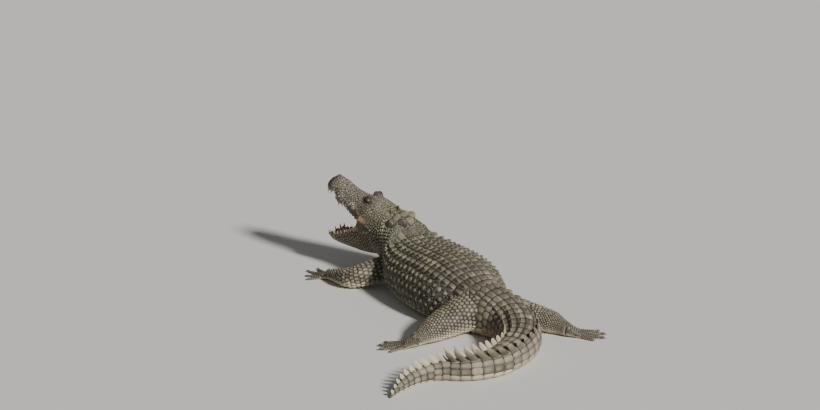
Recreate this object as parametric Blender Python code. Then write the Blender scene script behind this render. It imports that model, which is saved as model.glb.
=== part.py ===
"""A Nile crocodile, life size, lying on a flat floor with its mouth open and its tail curled to its left.

Everything is in metres. The trunk lies along Y with the head towards -Y, the animal's left is +X and the
floor is Z = 0. The origin is on the floor under the middle of the trunk. A station is a distance along
the spine behind the shoulders; a reach is a distance forward of the jaw joint.
"""

import math

import bmesh
import bpy
import numpy as np
from mathutils import Matrix, Vector

# Driving dimensions
NECK_LENGTH = 0.15
TRUNK_LENGTH = 0.96
TAIL_LENGTH = 1.68
HEAD_LENGTH = 0.497
JAW_LENGTH = 0.470
JOINT_HEIGHT = 0.365
UPPER_JAW_PITCH = 27.0
LOWER_JAW_PITCH = -17.0
GAP = 0.0003

SPINE_STEP = 0.005
HIPS = TRUNK_LENGTH
TAIL_END = TRUNK_LENGTH + TAIL_LENGTH

# Direction of the spine towards the tail, in degrees from +X, by station
HEADINGS = (
    (-0.25, 120), (-0.15, 118), (-0.02, 106), (0.12, 93), (0.25, 90), (0.84, 90), (0.98, 106), (1.08, 103),
    (1.18, 88), (1.28, 76), (1.38, 66), (1.48, 53), (1.58, 39), (1.68, 26), (1.78, 16), (1.88, 2),
    (1.98, -15), (2.08, -32), (2.18, -20), (2.30, 5), (2.46, 25), (2.64, 38),
)
# The body's outline by station: half width, top, underside, height of the widest point
HALF_WIDTH = (
    (-0.22, 0.130), (-0.15, 0.146), (-0.05, 0.178), (0.05, 0.240), (0.20, 0.288), (0.48, 0.304),
    (0.70, 0.285), (0.86, 0.230), (0.96, 0.192), (1.10, 0.166), (1.35, 0.140), (1.60, 0.116), (1.85, 0.092),
    (2.10, 0.068), (2.32, 0.044), (2.52, 0.022), (2.64, 0.006),
)
TOP = (
    (-0.22, 0.470), (-0.15, 0.476), (-0.09, 0.464), (0.00, 0.420), (0.05, 0.350), (0.18, 0.338),
    (0.40, 0.358), (0.60, 0.368), (0.80, 0.344), (0.96, 0.300), (1.14, 0.256), (1.36, 0.224), (1.60, 0.192),
    (1.85, 0.162), (2.10, 0.130), (2.34, 0.096), (2.54, 0.056), (2.64, 0.018),
)
UNDERSIDE = (
    (-0.22, 0.180), (-0.15, 0.132), (-0.08, 0.080), (-0.02, 0.042), (0.05, 0.014), (0.12, -0.004),
    (0.22, -0.014),
    (0.95, -0.014), (1.25, -0.008), (2.15, -0.006), (2.50, -0.003), (2.64, 0.0),
)
WIDEST = (
    (-0.22, 0.365), (-0.12, 0.320), (0.0, 0.215), (0.20, 0.150), (0.45, 0.125), (0.80, 0.120), (1.05, 0.105),
    (1.55, 0.080), (2.05, 0.055), (2.42, 0.030), (2.64, 0.007),
)
SQUARE_BACK = 2.25
SQUARE_BELLY = 2.6

# Tail crest: whorl length, height and where the two rows become one, by station
WHORL = ((0.96, 0.062), (1.55, 0.062), (2.05, 0.059), (2.64, 0.040))
CREST_HEIGHT = (
    (0.96, 0.010), (1.25, 0.018), (1.50, 0.034), (1.75, 0.054), (1.95, 0.068), (2.12, 0.074), (2.36, 0.060),
    (2.62, 0.018),
)
CREST_SPREAD = ((0.96, 0.100), (1.36, 0.108), (1.55, 0.086), (1.75, 0.072), (1.95, 0.040), (2.08, 0.028),
                (2.18, 0.012))
CREST_START = 1.24
CREST_MERGE = 2.15
CREST_RAKE = 0.70
CREST_THICK = 0.012
NECK = (-0.22, 0.0, 0.070)
TRUNK = (0.0, HIPS, 0.080)
TAIL_SPACING = 0.075
TAIL_CUTS = (0.96, 1.38, 1.65, 1.88, 2.20, 2.64)

# The head by reach: half width, top of the midline, lip of the upper jaw
HEAD_WIDTH = (
    (-0.03, 0.108), (0.02, 0.126), (0.08, 0.130), (0.14, 0.122), (0.20, 0.109), (0.26, 0.097),
    (0.31, 0.090), (0.35, 0.092), (0.385, 0.085), (0.415, 0.072), (0.445, 0.074), (0.470, 0.062),
    (0.488, 0.036), (0.497, 0.010),
)
HEAD_TOP = (
    (-0.03, 0.100), (0.02, 0.112), (0.12, 0.112), (0.17, 0.104), (0.21, 0.086), (0.26, 0.072), (0.32, 0.065),
    (0.38, 0.066), (0.43, 0.070), (0.47, 0.054), (0.497, 0.016),
)
HEAD_LIP = (
    (-0.03, -0.024), (0.08, -0.048), (0.16, -0.060), (0.22, -0.056), (0.27, -0.050), (0.305, -0.044),
    (0.345, -0.048), (0.380, -0.036), (0.412, -0.016), (0.445, -0.028), (0.485, -0.018), (0.497, -0.004),
)
HEAD_SQUARE = ((-0.03, 2.3), (0.05, 3.0), (0.14, 2.8), (0.22, 2.1), (0.38, 2.0), (0.497, 2.2))
PALATE_RISE = 0.014
JAW_WIDTH = (
    (0.0, 0.118), (0.08, 0.119), (0.14, 0.111), (0.20, 0.100), (0.26, 0.089), (0.32, 0.078), (0.37, 0.070),
    (0.41, 0.068), (0.445, 0.054), (0.462, 0.031), (0.470, 0.010),
)
JAW_LIP = (
    (0.0, -0.006), (0.10, 0.002), (0.20, -0.006), (0.27, 0.002), (0.33, -0.004), (0.37, -0.004),
    (0.41, 0.007), (0.470, 0.000),
)
JAW_BASE = (
    (0.0, -0.198), (0.10, -0.188), (0.20, -0.165), (0.30, -0.126), (0.38, -0.090), (0.43, -0.061),
    (0.458, -0.033), (0.470, -0.012),
)
FLOOR_DROP = 0.016
JOWL_CENTRE = (0.0, 0.020, 0.000)
JOWL_RADII = (0.128, 0.115, 0.108)
CHEEK_REACH = 0.212
CHEEK_HOLLOW = 0.016
CHEEK_THICK = 0.017

EYE_PLACE = (0.056, 0.170, 0.098)
EYE_RADIUS = 0.0185
BROW_RADII = (0.030, 0.040, 0.024)
NOSTRIL_PLACE = (0.0, 0.444, 0.052)
NOSTRIL_RADII = (0.031, 0.030, 0.021)

SKULL_REACHES = (
    -0.02, 0.03, 0.08, 0.13, 0.17, 0.21, 0.26, 0.305, 0.345, 0.38, 0.412, 0.445, 0.470, 0.486, 0.4965,
)
JAW_REACHES = (0.0, 0.06, 0.12, 0.19, 0.26, 0.32, 0.37, 0.41, 0.440, 0.458, 0.4695)

TOOTH_SPACING = 0.034
UPPER_TEETH = (
    (0.22, 0.014), (0.27, 0.018), (0.31, 0.023), (0.345, 0.036), (0.38, 0.022), (0.41, 0.015), (0.445, 0.032),
    (0.497, 0.020),
)
LOWER_TEETH = (
    (0.21, 0.014), (0.26, 0.020), (0.30, 0.024), (0.34, 0.018), (0.38, 0.020), (0.41, 0.038), (0.44, 0.024),
    (0.470, 0.028),
)
TOOTH_SLIM = 0.30
TOOTH_SIDES = 4
TOOTH_ROOT = 0.006

BODY_SIDES = 18
HEAD_SIDES = 12
LIMB_SIDES = 10
DIGIT_SIDES = 5

# Each limb: the joints from inside the body to the wrist or ankle, then the tip of the longest digit
FORE_LEFT = ((0.10, -0.475, 0.140), (0.385, -0.545, 0.072), (0.432, -0.745, 0.042), (0.497, -0.966, 0.0))
FORE_RIGHT = ((-0.10, -0.470, 0.140), (-0.375, -0.500, 0.072), (-0.440, -0.700, 0.042), (-0.540, -0.905, 0.0))
HIND_LEFT = ((0.05, 0.466, 0.150), (0.318, 0.500, 0.105), (0.546, 0.537, 0.052), (0.749, 0.439, 0.0))
HIND_RIGHT = ((-0.05, 0.470, 0.125), (-0.316, 0.660, 0.068), (-0.385, 0.846, 0.044), (-0.575, 0.985, 0.0))
# Limb thickness by share of the way from root to wrist: half width along the floor, half height
FORE_GIRTH = (
    (0.0, 0.080, 0.080), (0.22, 0.080, 0.078), (0.50, 0.073, 0.070), (0.62, 0.068, 0.062),
    (0.85, 0.050, 0.045), (1.0, 0.042, 0.034),
)
HIND_GIRTH = (
    (0.0, 0.115, 0.120), (0.25, 0.112, 0.112), (0.50, 0.098, 0.094), (0.70, 0.080, 0.076),
    (0.88, 0.054, 0.052), (1.0, 0.045, 0.042),
)
LOW_HIND_GIRTH = (
    (0.0, 0.115, 0.115), (0.25, 0.112, 0.098), (0.50, 0.098, 0.072), (0.70, 0.080, 0.064),
    (0.88, 0.054, 0.050), (1.0, 0.045, 0.042),
)
# Digits: angle from the foot's line, length as a share of the foot, root half width, has a claw
FORE_DIGITS = (
    (48, 0.46, 0.013, True), (23, 0.60, 0.014, True), (0, 0.64, 0.013, True), (-24, 0.56, 0.011, False),
    (-50, 0.44, 0.010, False),
)
HIND_DIGITS = (
    (26, 0.54, 0.017, True), (9, 0.66, 0.018, True), (-8, 0.66, 0.016, True), (-26, 0.54, 0.013, False),
)
FORE_PALM = (0.042, 0.026)
HIND_PALM = (0.048, 0.030)
CLAW_LENGTH = 0.030

MATERIALS = {
    "skin": ((0.145, 0.135, 0.095, 1.0), 0.65),
    "mouth": ((0.62, 0.42, 0.30, 1.0), 0.35),
    "horn": ((0.10, 0.085, 0.065, 1.0), 0.40),
    "eye": ((0.30, 0.27, 0.08, 1.0), 0.08),
}


def profile(knots, at):
    """A smooth curve through (place, value) knots that never overshoots them, read at given places."""
    places, values = (np.array(column, float) for column in zip(*knots))
    at = np.clip(at, places[0], places[-1])
    steps = np.diff(places)
    slopes = np.diff(values) / steps
    same_way = slopes[:-1] * slopes[1:] > 0
    mean = 2 * slopes[:-1] * slopes[1:] / np.where(same_way, slopes[:-1] + slopes[1:], 1)
    tangents = np.concatenate([slopes[:1], np.where(same_way, mean, 0), slopes[-1:]])
    k = np.clip(np.searchsorted(places, at, side="right") - 1, 0, len(steps) - 1)
    h, u = steps[k], (at - places[k]) / steps[k]
    return (
        values[k] * (1 + 2 * u) * (1 - u) ** 2
        + values[k + 1] * u**2 * (3 - 2 * u)
        + h * tangents[k] * u * (1 - u) ** 2
        + h * tangents[k + 1] * u**2 * (u - 1)
    )


def spine_line():
    """Stations with the plan position and heading of the spine at each, the trunk's middle at the origin."""
    stations = np.arange(HEADINGS[0][0], TAIL_END + SPINE_STEP, SPINE_STEP)
    heading = np.radians(profile(HEADINGS, stations))
    steps = np.stack([np.cos(heading), np.sin(heading)], 1) * SPINE_STEP
    places = np.cumsum(steps, 0) - steps / 2
    middle = [np.interp(TRUNK_LENGTH / 2, stations, column) for column in places.T]
    return stations, places - middle, heading


SPINE = spine_line()


def spine_at(station):
    """(x, y) on the spine and the heading towards the tail at one station."""
    stations, places, heading = SPINE
    x, y, turn = (np.interp(station, stations, column) for column in (*places.T, heading))
    return x, y, turn


def oval(angles, half_width, up, down, square_up, square_down):
    """A rounded section: across and above its widest point, with angle 0 at the top."""
    sine, cosine = np.sin(angles), np.cos(angles)
    power = 2 / np.where(cosine >= 0, square_up, square_down)
    across = half_width * np.sign(sine) * np.abs(sine) ** power
    above = np.where(cosine >= 0, up, down) * np.sign(cosine) * np.abs(cosine) ** power
    return across, above


def body_ring(station, grow=0.0):
    """One upright ring of the neck, trunk or tail, its underside flattened where it meets the floor."""
    x, y, turn = spine_at(station)
    half, top, low, widest = (float(profile(k, station)) for k in (HALF_WIDTH, TOP, UNDERSIDE, WIDEST))
    angles = np.arange(BODY_SIDES) * 2 * math.pi / BODY_SIDES
    across, above = oval(
        angles, half + grow, top - widest + grow, widest - low + grow, SQUARE_BACK, SQUARE_BELLY
    )
    height = np.maximum(widest + above, 0.0 if grow == 0 else -2 * GAP)
    return np.stack([x + across * math.sin(turn), y - across * math.cos(turn), height], 1)


def solid(name, rings, tip=None):
    """A closed mesh object lofted through rings of points, ending in a point where a tip is given."""
    build = bmesh.new()
    rows = [[build.verts.new(point) for point in ring] for ring in rings]
    for ring, after in zip(rows, rows[1:]):
        for k in range(len(ring)):
            build.faces.new((ring[k - 1], ring[k], after[k], after[k - 1]))
    build.faces.new(rows[0])
    if tip is None:
        build.faces.new(rows[-1][::-1])
    else:
        point = build.verts.new(tip)
        for k in range(len(rows[-1])):
            build.faces.new((rows[-1][k - 1], rows[-1][k], point))
    return finished(name, build)


def finished(name, build):
    """The bmesh as an object in the scene, its faces all triangles that point out."""
    bmesh.ops.triangulate(build, faces=build.faces, quad_method="FIXED", ngon_method="BEAUTY")
    bmesh.ops.recalc_face_normals(build, faces=build.faces)
    mesh = bpy.data.meshes.new(name)
    build.to_mesh(mesh)
    build.free()
    made = bpy.data.objects.new(name, mesh)
    bpy.context.collection.objects.link(made)
    return made


def ellipsoid(name, centre, radii, place=None, rows=7, around=12):
    """A closed ellipsoid, placed by a matrix where one is given."""
    build = bmesh.new()
    bmesh.ops.create_uvsphere(build, u_segments=around, v_segments=rows, radius=1.0)
    scale = Matrix.Diagonal((*radii, 1.0))
    matrix = (place or Matrix.Identity(4)) @ Matrix.Translation(centre) @ scale
    bmesh.ops.transform(build, matrix=matrix, verts=build.verts)
    return finished(name, build)


def combine(kept, others, operation):
    """Joins or cuts one object by others, then removes them."""
    for other in others:
        modifier = kept.modifiers.new(other.name, "BOOLEAN")
        modifier.operation, modifier.object, modifier.solver = operation, other, "EXACT"
    graph = bpy.context.evaluated_depsgraph_get()
    made = bpy.data.meshes.new_from_object(kept.evaluated_get(graph))
    kept.modifiers.clear()
    kept.data = made
    for other in others:
        bpy.data.objects.remove(other)
    return kept


def keep_largest(made):
    """Drops the loose scraps that a cut leaves beside the main solid."""
    build = bmesh.new()
    build.from_mesh(made.data)
    left, islands = set(build.verts), []
    while left:
        island, edge = set(), {next(iter(left))}
        while edge:
            island |= edge
            edge = {e.other_vert(v) for v in edge for e in v.link_edges} - island
        left -= island
        islands.append(island)
    islands.sort(key=len)
    bmesh.ops.delete(build, geom=[v for island in islands[:-1] for v in island], context="VERTS")
    build.to_mesh(made.data)
    build.free()
    return made


def finish_as(made, material):
    """Gives an object its material and smooth shading."""
    colour, roughness = MATERIALS[material]
    look = bpy.data.materials.get(material)
    if look is None:
        look = bpy.data.materials.new(material)
        look.use_nodes = True
        shader = look.node_tree.nodes["Principled BSDF"]
        shader.inputs["Base Color"].default_value = colour
        shader.inputs["Roughness"].default_value = roughness
        shader.inputs["Metallic"].default_value = 0.0
    made.data.materials.clear()
    made.data.materials.append(look)
    made.data.shade_smooth()
    return made


# ---- neck, trunk and tail ----


def stations_between(start, end, spacing):
    """Evenly spaced stations from one to the other."""
    return np.linspace(start, end, max(2, round((end - start) / spacing) + 1))


def body_length(name, start, end, spacing, ends=(True, True)):
    """One length of the body between two stations, a gap left at each end that meets another length."""
    stations = stations_between(start, end, spacing)
    stations[0] += GAP if ends[0] else 0.0
    stations[-1] -= GAP if ends[1] else 0.0
    return solid(name, [body_ring(station) for station in stations])


def back_height(station, across):
    """Height of the body's upper side at a distance across from the spine."""
    half, top, widest = (float(profile(k, station)) for k in (HALF_WIDTH, TOP, WIDEST))
    return widest + (top - widest) * (1 - min(abs(across) / half, 0.9) ** SQUARE_BACK) ** (1 / SQUARE_BACK)


def crest_scute(name, station, length, side):
    """One upright fin of the tail crest, raked towards the tail's tip."""
    height, spread = float(profile(CREST_HEIGHT, station)), float(profile(CREST_SPREAD, station))
    foot = back_height(station, spread * side)
    rings = []
    levels = ((-0.012, -0.40, 0.34, 1.0), (0.55, -0.34, 0.38, 0.75), (1.0, -0.04, 0.34, 0.3))
    levels = levels if height > 0.040 else (levels[0], levels[2])
    for level, front, back, thick in levels:
        rise = level if level < 0 else level * height
        ring = []
        for along, edge in ((front, -1), (back, -1), (back, 1), (front, 1)):
            x, y, turn = spine_at(station + along * length + CREST_RAKE * max(rise, 0.0))
            out = side * spread + edge * thick * CREST_THICK / 2
            ring.append((x + out * math.sin(turn), y - out * math.cos(turn), foot + rise))
        rings.append(ring)
    return solid(name, rings)


def crest_whorls():
    """The stations of the crest's rows of scutes, each with its length, from the hips to near the tip."""
    station, whorls = CREST_START, []
    while station < TAIL_END - 0.03:
        length = float(profile(WHORL, station))
        whorls.append((station, length))
        station += (length + float(profile(WHORL, station + length))) / 2
    return whorls


def tail_cuts(whorls):
    """The planes between the tail's lengths, each moved to the nearest gap between two rows of scutes."""
    gaps = [station + length / 2 for station, length in whorls]
    inner = [min(gaps, key=lambda gap: abs(gap - cut)) for cut in TAIL_CUTS[1:-1]]
    return [TAIL_CUTS[0], *inner, TAIL_CUTS[-1]]


def make_tail():
    """The tail in five lengths, each with the crest scutes that stand on it."""
    whorls = crest_whorls()
    cuts = tail_cuts(whorls)
    for k, (start, end) in enumerate(zip(cuts, cuts[1:])):
        length = body_length(f"tail_{k + 1}", start, end, TAIL_SPACING, (True, end != cuts[-1]))
        own = [whorl for whorl in whorls if start < whorl[0] < end]
        sides = [(-1, 1) if station < CREST_MERGE else (0,) for station, _ in own]
        fins = [
            crest_scute(f"fin_{k}_{n}_{side}", *whorl, side)
            for n, (whorl, row) in enumerate(zip(own, sides))
            for side in row
        ]
        combine(length, fins, "UNION")
        finish_as(length, "skin")


def whole_body(name):
    """The neck, trunk and tail root as one slightly swollen solid, for cutting what meets them."""
    root_end = tail_cuts(crest_whorls())[1]
    lengths = [
        stations_between(*NECK),
        stations_between(*TRUNK)[1:],
        stations_between(HIPS, root_end, TAIL_SPACING)[1:],
    ]
    return solid(name, [body_ring(station, GAP) for station in np.concatenate(lengths)])


# ---- head ----


def head_matrix(pitch):
    """Turns reach and height at the jaw joint into the scene, for a jaw raised by a pitch in degrees."""
    x, y, turn = spine_at(-NECK_LENGTH)
    return (
        Matrix.Translation((x, y, JOINT_HEIGHT))
        @ Matrix.Rotation(turn - math.pi / 2, 4, "Z")
        @ Matrix.Rotation(math.radians(-pitch), 4, "X")
    )


def placed(points, matrix):
    """Points given as (across, reach, height) in a head frame, moved into the scene."""
    return [matrix @ Vector((across, -reach, height)) for across, reach, height in points]


def head_ring(reach, grow=0.0):
    """One ring of the skull and upper jaw: a dome over the lips and an arched palate between them."""
    half, top, lip, square = (
        float(profile(k, reach)) for k in (HEAD_WIDTH, HEAD_TOP, HEAD_LIP, HEAD_SQUARE)
    )
    half, top, lip = half + grow, top + grow, lip - grow
    angles = np.linspace(-math.pi / 2, math.pi / 2, HEAD_SIDES)
    across, above = oval(angles, half, top - lip, 0.0, square, 2.0)
    dome = [(a, reach, lip + h) for a, h in zip(across, above)]
    rise = min(PALATE_RISE, 0.3 * (top - lip))
    arch = [(half * a, reach, lip + rise * (1 - a * a)) for a in (0.80, 0.45, 0.0, -0.45, -0.80)]
    return dome + arch


def jaw_ring(reach, grow=0.0):
    """One ring of the lower jaw: its base rounded, the floor of the mouth sunk between the lips."""
    half, lip, base = (float(profile(k, reach)) for k in (JAW_WIDTH, JAW_LIP, JAW_BASE))
    half, lip, base = half + grow, lip + grow, base - grow
    angles = np.linspace(math.pi / 2, 3 * math.pi / 2, HEAD_SIDES)
    across, above = oval(angles, half, 0.0, lip - base, 2.0, 2.5)
    base_arc = [(a, reach, lip + h) for a, h in zip(across, above)]
    drop = min(FLOOR_DROP, 0.4 * (lip - base))
    floor = [(half * a, reach, lip - drop * (1 - abs(a) ** 3)) for a in (-0.80, -0.45, 0.0, 0.45, 0.80)]
    return base_arc + floor


def tooth_row(name, width_knots, lip_knots, size_knots, end, inset, way, matrix):
    """Teeth along both sides of a jaw, pointing up or down, as one mesh of separate cones."""
    reach = np.linspace(size_knots[0][0], end, 400)
    across = profile(width_knots, reach) * (1 - inset)
    run = np.concatenate([[0], np.cumsum(np.hypot(np.diff(reach), np.diff(across)))])
    count = int(run[-1] / TOOTH_SPACING)
    build = bmesh.new()
    for k in range(count):
        along = (k + 0.5) * run[-1] / count
        at, out = np.interp(along, run, reach), np.interp(along, run, across)
        size = float(profile(size_knots, at))
        lip = float(profile(lip_knots, at))
        for side in (-1, 1):
            foot = [
                (
                    side * out + TOOTH_SLIM * size * math.cos(turn),
                    at + TOOTH_SLIM * size * math.sin(turn),
                    lip - way * TOOTH_ROOT,
                )
                for turn in np.arange(TOOTH_SIDES) * 2 * math.pi / TOOTH_SIDES
            ]
            tip = (side * out * 0.97, at - 0.12 * size, lip + way * size)
            ring = [build.verts.new(point) for point in placed(foot, matrix)]
            point = build.verts.new(placed([tip], matrix)[0])
            build.faces.new(ring)
            for n in range(TOOTH_SIDES):
                build.faces.new((ring[n - 1], ring[n], point))
    return finished(name, build)


def cheek(name, side, grow=0.0):
    """The fold of skin at the corner of the mouth, a fan between the two jaws with a hollow front edge."""
    base = head_matrix(0)
    rings = []
    ends = math.degrees(grow / 0.05)
    for pitch in np.linspace(LOWER_JAW_PITCH - 4 - ends, UPPER_JAW_PITCH + 2 + ends, 5):
        middle = 1 - (pitch / UPPER_JAW_PITCH) ** 2
        reach = CHEEK_REACH - CHEEK_HOLLOW * max(middle, 0.0) + grow
        turn = Matrix.Rotation(math.radians(-pitch), 4, "X")
        ring = []
        for back, out in ((0.02, -1), (0.65 * reach, -1), (reach, 0), (0.65 * reach, 1), (0.02, 1)):
            middle_line = float(profile(HEAD_WIDTH, back)) - CHEEK_THICK * 0.75
            across = side * (middle_line + out * (CHEEK_THICK / 2 + grow))
            ring.append((base @ turn) @ Vector((across, -back, -0.014)))
        rings.append(ring)
    return solid(name, rings)


def jowl(name, grow=0.0):
    """The muscle round the jaw joint that fills the back of the head and closes the mouth behind."""
    across, reach, height = JOWL_CENTRE
    radii = [radius + grow for radius in JOWL_RADII]
    return ellipsoid(name, (across, -reach, height), radii, head_matrix(0), rows=8, around=12)


def skull(name, grow=0.0):
    """The skull and upper jaw without brows or teeth."""
    rings = [head_ring(reach, grow) for reach in SKULL_REACHES]
    if grow:
        rings[0] = [(a, reach - grow, h) for a, reach, h in rings[0]]
    return solid(name, [placed(ring, head_matrix(UPPER_JAW_PITCH)) for ring in rings])


def jaw_bone(name, grow=0.0):
    """The lower jaw without teeth."""
    rings = [jaw_ring(reach, grow) for reach in JAW_REACHES]
    if grow:
        rings[0] = [(a, reach - grow, h) for a, reach, h in rings[0]]
    return solid(name, [placed(ring, head_matrix(LOWER_JAW_PITCH)) for ring in rings])


def head_cutters():
    """The solids of the head that move with the upper jaw, swollen by the gap to cut what meets them."""
    cheeks = [cheek("cheek_l_cut", 1, GAP), cheek("cheek_r_cut", -1, GAP)]
    return [jowl("jowl_cut", GAP), skull("skull_cut", GAP), *cheeks]


def make_head():
    """The skull with the upper jaw, brows and teeth, the eyes, the lower jaw and the tongue."""
    upper, lower = head_matrix(UPPER_JAW_PITCH), head_matrix(LOWER_JAW_PITCH)
    head = skull("head")
    brows = []
    for side in (-1, 1):
        across, reach, height = EYE_PLACE
        centre = (side * (across - 0.008), -reach, height)
        brows.append(ellipsoid(f"brow_{side}", centre, BROW_RADII, upper, rows=6, around=10))
    across, reach, height = NOSTRIL_PLACE
    nose = ellipsoid("nose", (across, -reach, height), NOSTRIL_RADII, upper, rows=5, around=8)
    teeth = tooth_row("teeth_up", HEAD_WIDTH, HEAD_LIP, UPPER_TEETH, HEAD_LENGTH - 0.010, 0.10, -1, upper)
    combine(head, [jowl("jowl"), *brows, nose, cheek("cheek_l", 1), cheek("cheek_r", -1), teeth], "UNION")
    sockets = [eyeball(f"socket_{side}", side, GAP) for side in (-1, 1)]
    combine(head, sockets, "DIFFERENCE")
    finish_as(head, "skin")
    for name, side in (("eye_left", 1), ("eye_right", -1)):
        finish_as(eyeball(name, side), "eye")

    jaw = jaw_bone("lower_jaw")
    teeth = tooth_row("teeth_low", JAW_WIDTH, JAW_LIP, LOWER_TEETH, JAW_LENGTH - 0.012, 0.09, 1, lower)
    combine(jaw, [teeth], "UNION")
    combine(jaw, head_cutters(), "DIFFERENCE")
    finish_as(keep_largest(jaw), "skin")
    tongue = make_tongue(lower)
    combine(tongue, head_cutters(), "DIFFERENCE")
    finish_as(keep_largest(tongue), "mouth")


def eyeball(name, side, grow=0.0):
    """One eye, set in the outer face of its brow."""
    across, reach, height = EYE_PLACE
    radius = EYE_RADIUS + grow
    centre = (side * (across + 0.0045), -reach - 0.002, height + 0.001)
    return ellipsoid(name, centre, (radius,) * 3, head_matrix(UPPER_JAW_PITCH), rows=6, around=10)


def make_tongue(matrix):
    """The tongue, a low mound on the floor of the mouth that keeps a gap to it."""
    rings = []
    for reach in (0.09, 0.15, 0.21, 0.27, 0.33, 0.365):
        half, lip, base = (float(profile(k, reach)) for k in (JAW_WIDTH, JAW_LIP, JAW_BASE))
        drop = min(FLOOR_DROP, 0.4 * (lip - base))
        taper = math.sqrt(max(1 - ((reach - 0.09) / 0.28) ** 4, 0.02))
        shares = np.array([-0.62, -0.40, -0.14, 0.14, 0.40, 0.62]) * taper
        under = [(half * a, reach, lip - drop * (1 - 0.62**3) + 0.0045) for a in shares]
        rise = 0.011 * taper
        over = [
            (half * a, reach, under[0][2] + 0.001 + rise * (1 - (abs(a) / 0.66) ** 2))
            for a in shares[::-1]
        ]
        rings.append(placed(under + over, matrix))
    return solid("tongue", rings)


# ---- legs ----


def unit(vector):
    """A vector at length one."""
    return vector / np.linalg.norm(vector)


def tube_ring(centre, direction, half_width, half_height, sides, square=2.2):
    """An oval ring across a limb."""
    side = unit(np.array([direction[1], -direction[0], 0.0]))
    up = np.cross(side, direction)
    up *= np.sign(up[2])
    angles = (np.arange(sides) + 0.5) * 2 * math.pi / sides
    across, above = oval(angles, half_width, half_height, half_height, square, square)
    return centre + across[:, None] * side + above[:, None] * up


def floor_block():
    """Everything below the floor, for cutting flats where the feet rest."""
    corners = [(-3, -3), (3, -3), (3, 3), (-3, 3)]
    return solid("floor_block", [[Vector((x, y, z)) for x, y in corners] for z in (-0.5, 0.0)])


def limb_lines(joints):
    """Directions of the limb's two lengths and of its foot, and of the planes that cut between them."""
    points = np.array(joints, float)
    upper, lower = unit(points[1] - points[0]), unit(points[2] - points[1])
    ahead = unit(points[3] - points[2])
    return upper, lower, unit(upper + lower), unit(lower + ahead)


def girth_at(girth, share):
    """Half width and half height of a limb at a share of the way from its root to its wrist."""
    places, halves, heights = zip(*girth)
    half, high = profile(list(zip(places, halves)), share), profile(list(zip(places, heights)), share)
    return float(half), float(high)


def limb_length(name, joints, girth, part, count):
    """The upper (0) or lower (1) length of a leg, its ends cut along the planes it shares at the joints."""
    upper, lower, elbow, wrist = limb_lines(joints)
    start, end = np.array(joints[part], float), np.array(joints[part + 1], float)
    direction = (upper, lower)[part]
    cuts = ((upper, elbow), (elbow, wrist))[part]
    length = np.linalg.norm(end - start)
    rings = []
    for share in np.linspace(0, 1, count):
        half, high = girth_at(girth, (part + share) / 2)
        centre, across = start + (end - start) * share, direction
        if share in (0.0, 1.0):
            across = cuts[int(share)]
            half *= min(1 / float(across @ direction), 1.15)
            centre = centre + across * GAP * (1 if share == 0.0 else -1)
        else:
            bend = [float(np.tan(np.arccos(min(float(cut @ direction), 1.0)))) for cut in cuts]
            first, last = 1.1 * half * bend[0], length - 1.1 * half * bend[1]
            centre = start + direction * (first + (last - first) * (share * count - share) / (count - 1))
        rings.append(tube_ring(centre, across, half, high, LIMB_SIDES))
    return solid(name, rings)


def foot_frame(joints):
    """The wrist or ankle on the floor plan, the foot's direction and its length."""
    start, tip = np.array(joints[2]), np.array(joints[3])
    line = (tip - start)[:2]
    length = float(np.linalg.norm(line))
    return start, math.atan2(line[1], line[0]), length


def digit_line(joints, digit, side, palm):
    """Root, knuckle and tip of one digit, spread across the palm's front."""
    start, line, length = foot_frame(joints)
    angle, share, radius, _ = digit
    turn = line + side * math.radians(angle)
    ahead = np.array([math.cos(line), math.sin(line)])
    across = np.array([-math.sin(line), math.cos(line)])
    root = start[:2] + ahead * length * 0.26 + across * side * palm[0] * angle / 60
    tip = root + np.array([math.cos(turn), math.sin(turn)]) * length * share
    knuckle = root + 0.45 * (tip - root)
    return (
        np.array([*root, radius + 0.010]),
        np.array([*knuckle, radius * 0.95]),
        np.array([*tip, radius * 0.45]),
    )


def make_digit(name, line, radius):
    """A toe or finger, thickest at its knuckle, lying along the floor."""
    root, knuckle, tip = line
    ahead = unit(tip - root)
    rings = []
    for share, size in ((0.0, 1.0), (0.45, 0.98), (0.86, 0.68)):
        centre = root + (tip - root) * share
        centre[2] = max(np.interp(share, (0, 0.45, 1), (root[2], knuckle[2], tip[2])), 0.0)
        rings.append(tube_ring(centre, ahead, radius * size, radius * size * 0.85, DIGIT_SIDES))
    return solid(name, rings, tip=(*tip[:2], radius * 0.35))


def make_claw(name, line, radius):
    """A curved claw beyond the end of a digit, standing clear of it by the gap."""
    root, tip = line[1], line[2]
    ahead = (tip - root) / np.linalg.norm(tip - root)
    rings = []
    for share, size in ((0.0, 0.55), (0.5, 0.40), (1.0, 0.07)):
        centre = tip + ahead * (GAP * 3 + share * CLAW_LENGTH)
        centre[2] = radius * (0.62 + 0.25 * math.sin(math.pi * share) - 0.35 * share)
        rings.append(tube_ring(centre, ahead, size * radius, size * radius * 1.1, 5))
    return combine(solid(name, rings), [floor_block()], "DIFFERENCE")


def make_web(name, heel, lines, reach):
    """One thin web between all the digits of a foot, hollow between each two."""
    edges = [root + (tip - root) * reach for root, _, tip in lines]
    outline = [edges[0]]
    for (root_a, _, _), (root_b, _, _), a, b in zip(lines, lines[1:], edges, edges[1:]):
        outline += [(a + b) / 2 - (a + b - root_a - root_b) * 0.10, b]
    build = bmesh.new()
    rims = [
        [build.verts.new((p[0], p[1], height)) for p in (heel, *outline)] for height in (0.0025, 0.0095)
    ]
    for rim in rims:
        for a, b in zip(rim[1:], rim[2:]):
            build.faces.new((rim[0], a, b))
    for k in range(len(rims[0])):
        build.faces.new((rims[0][k - 1], rims[0][k], rims[1][k], rims[1][k - 1]))
    return finished(name, build)


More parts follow.
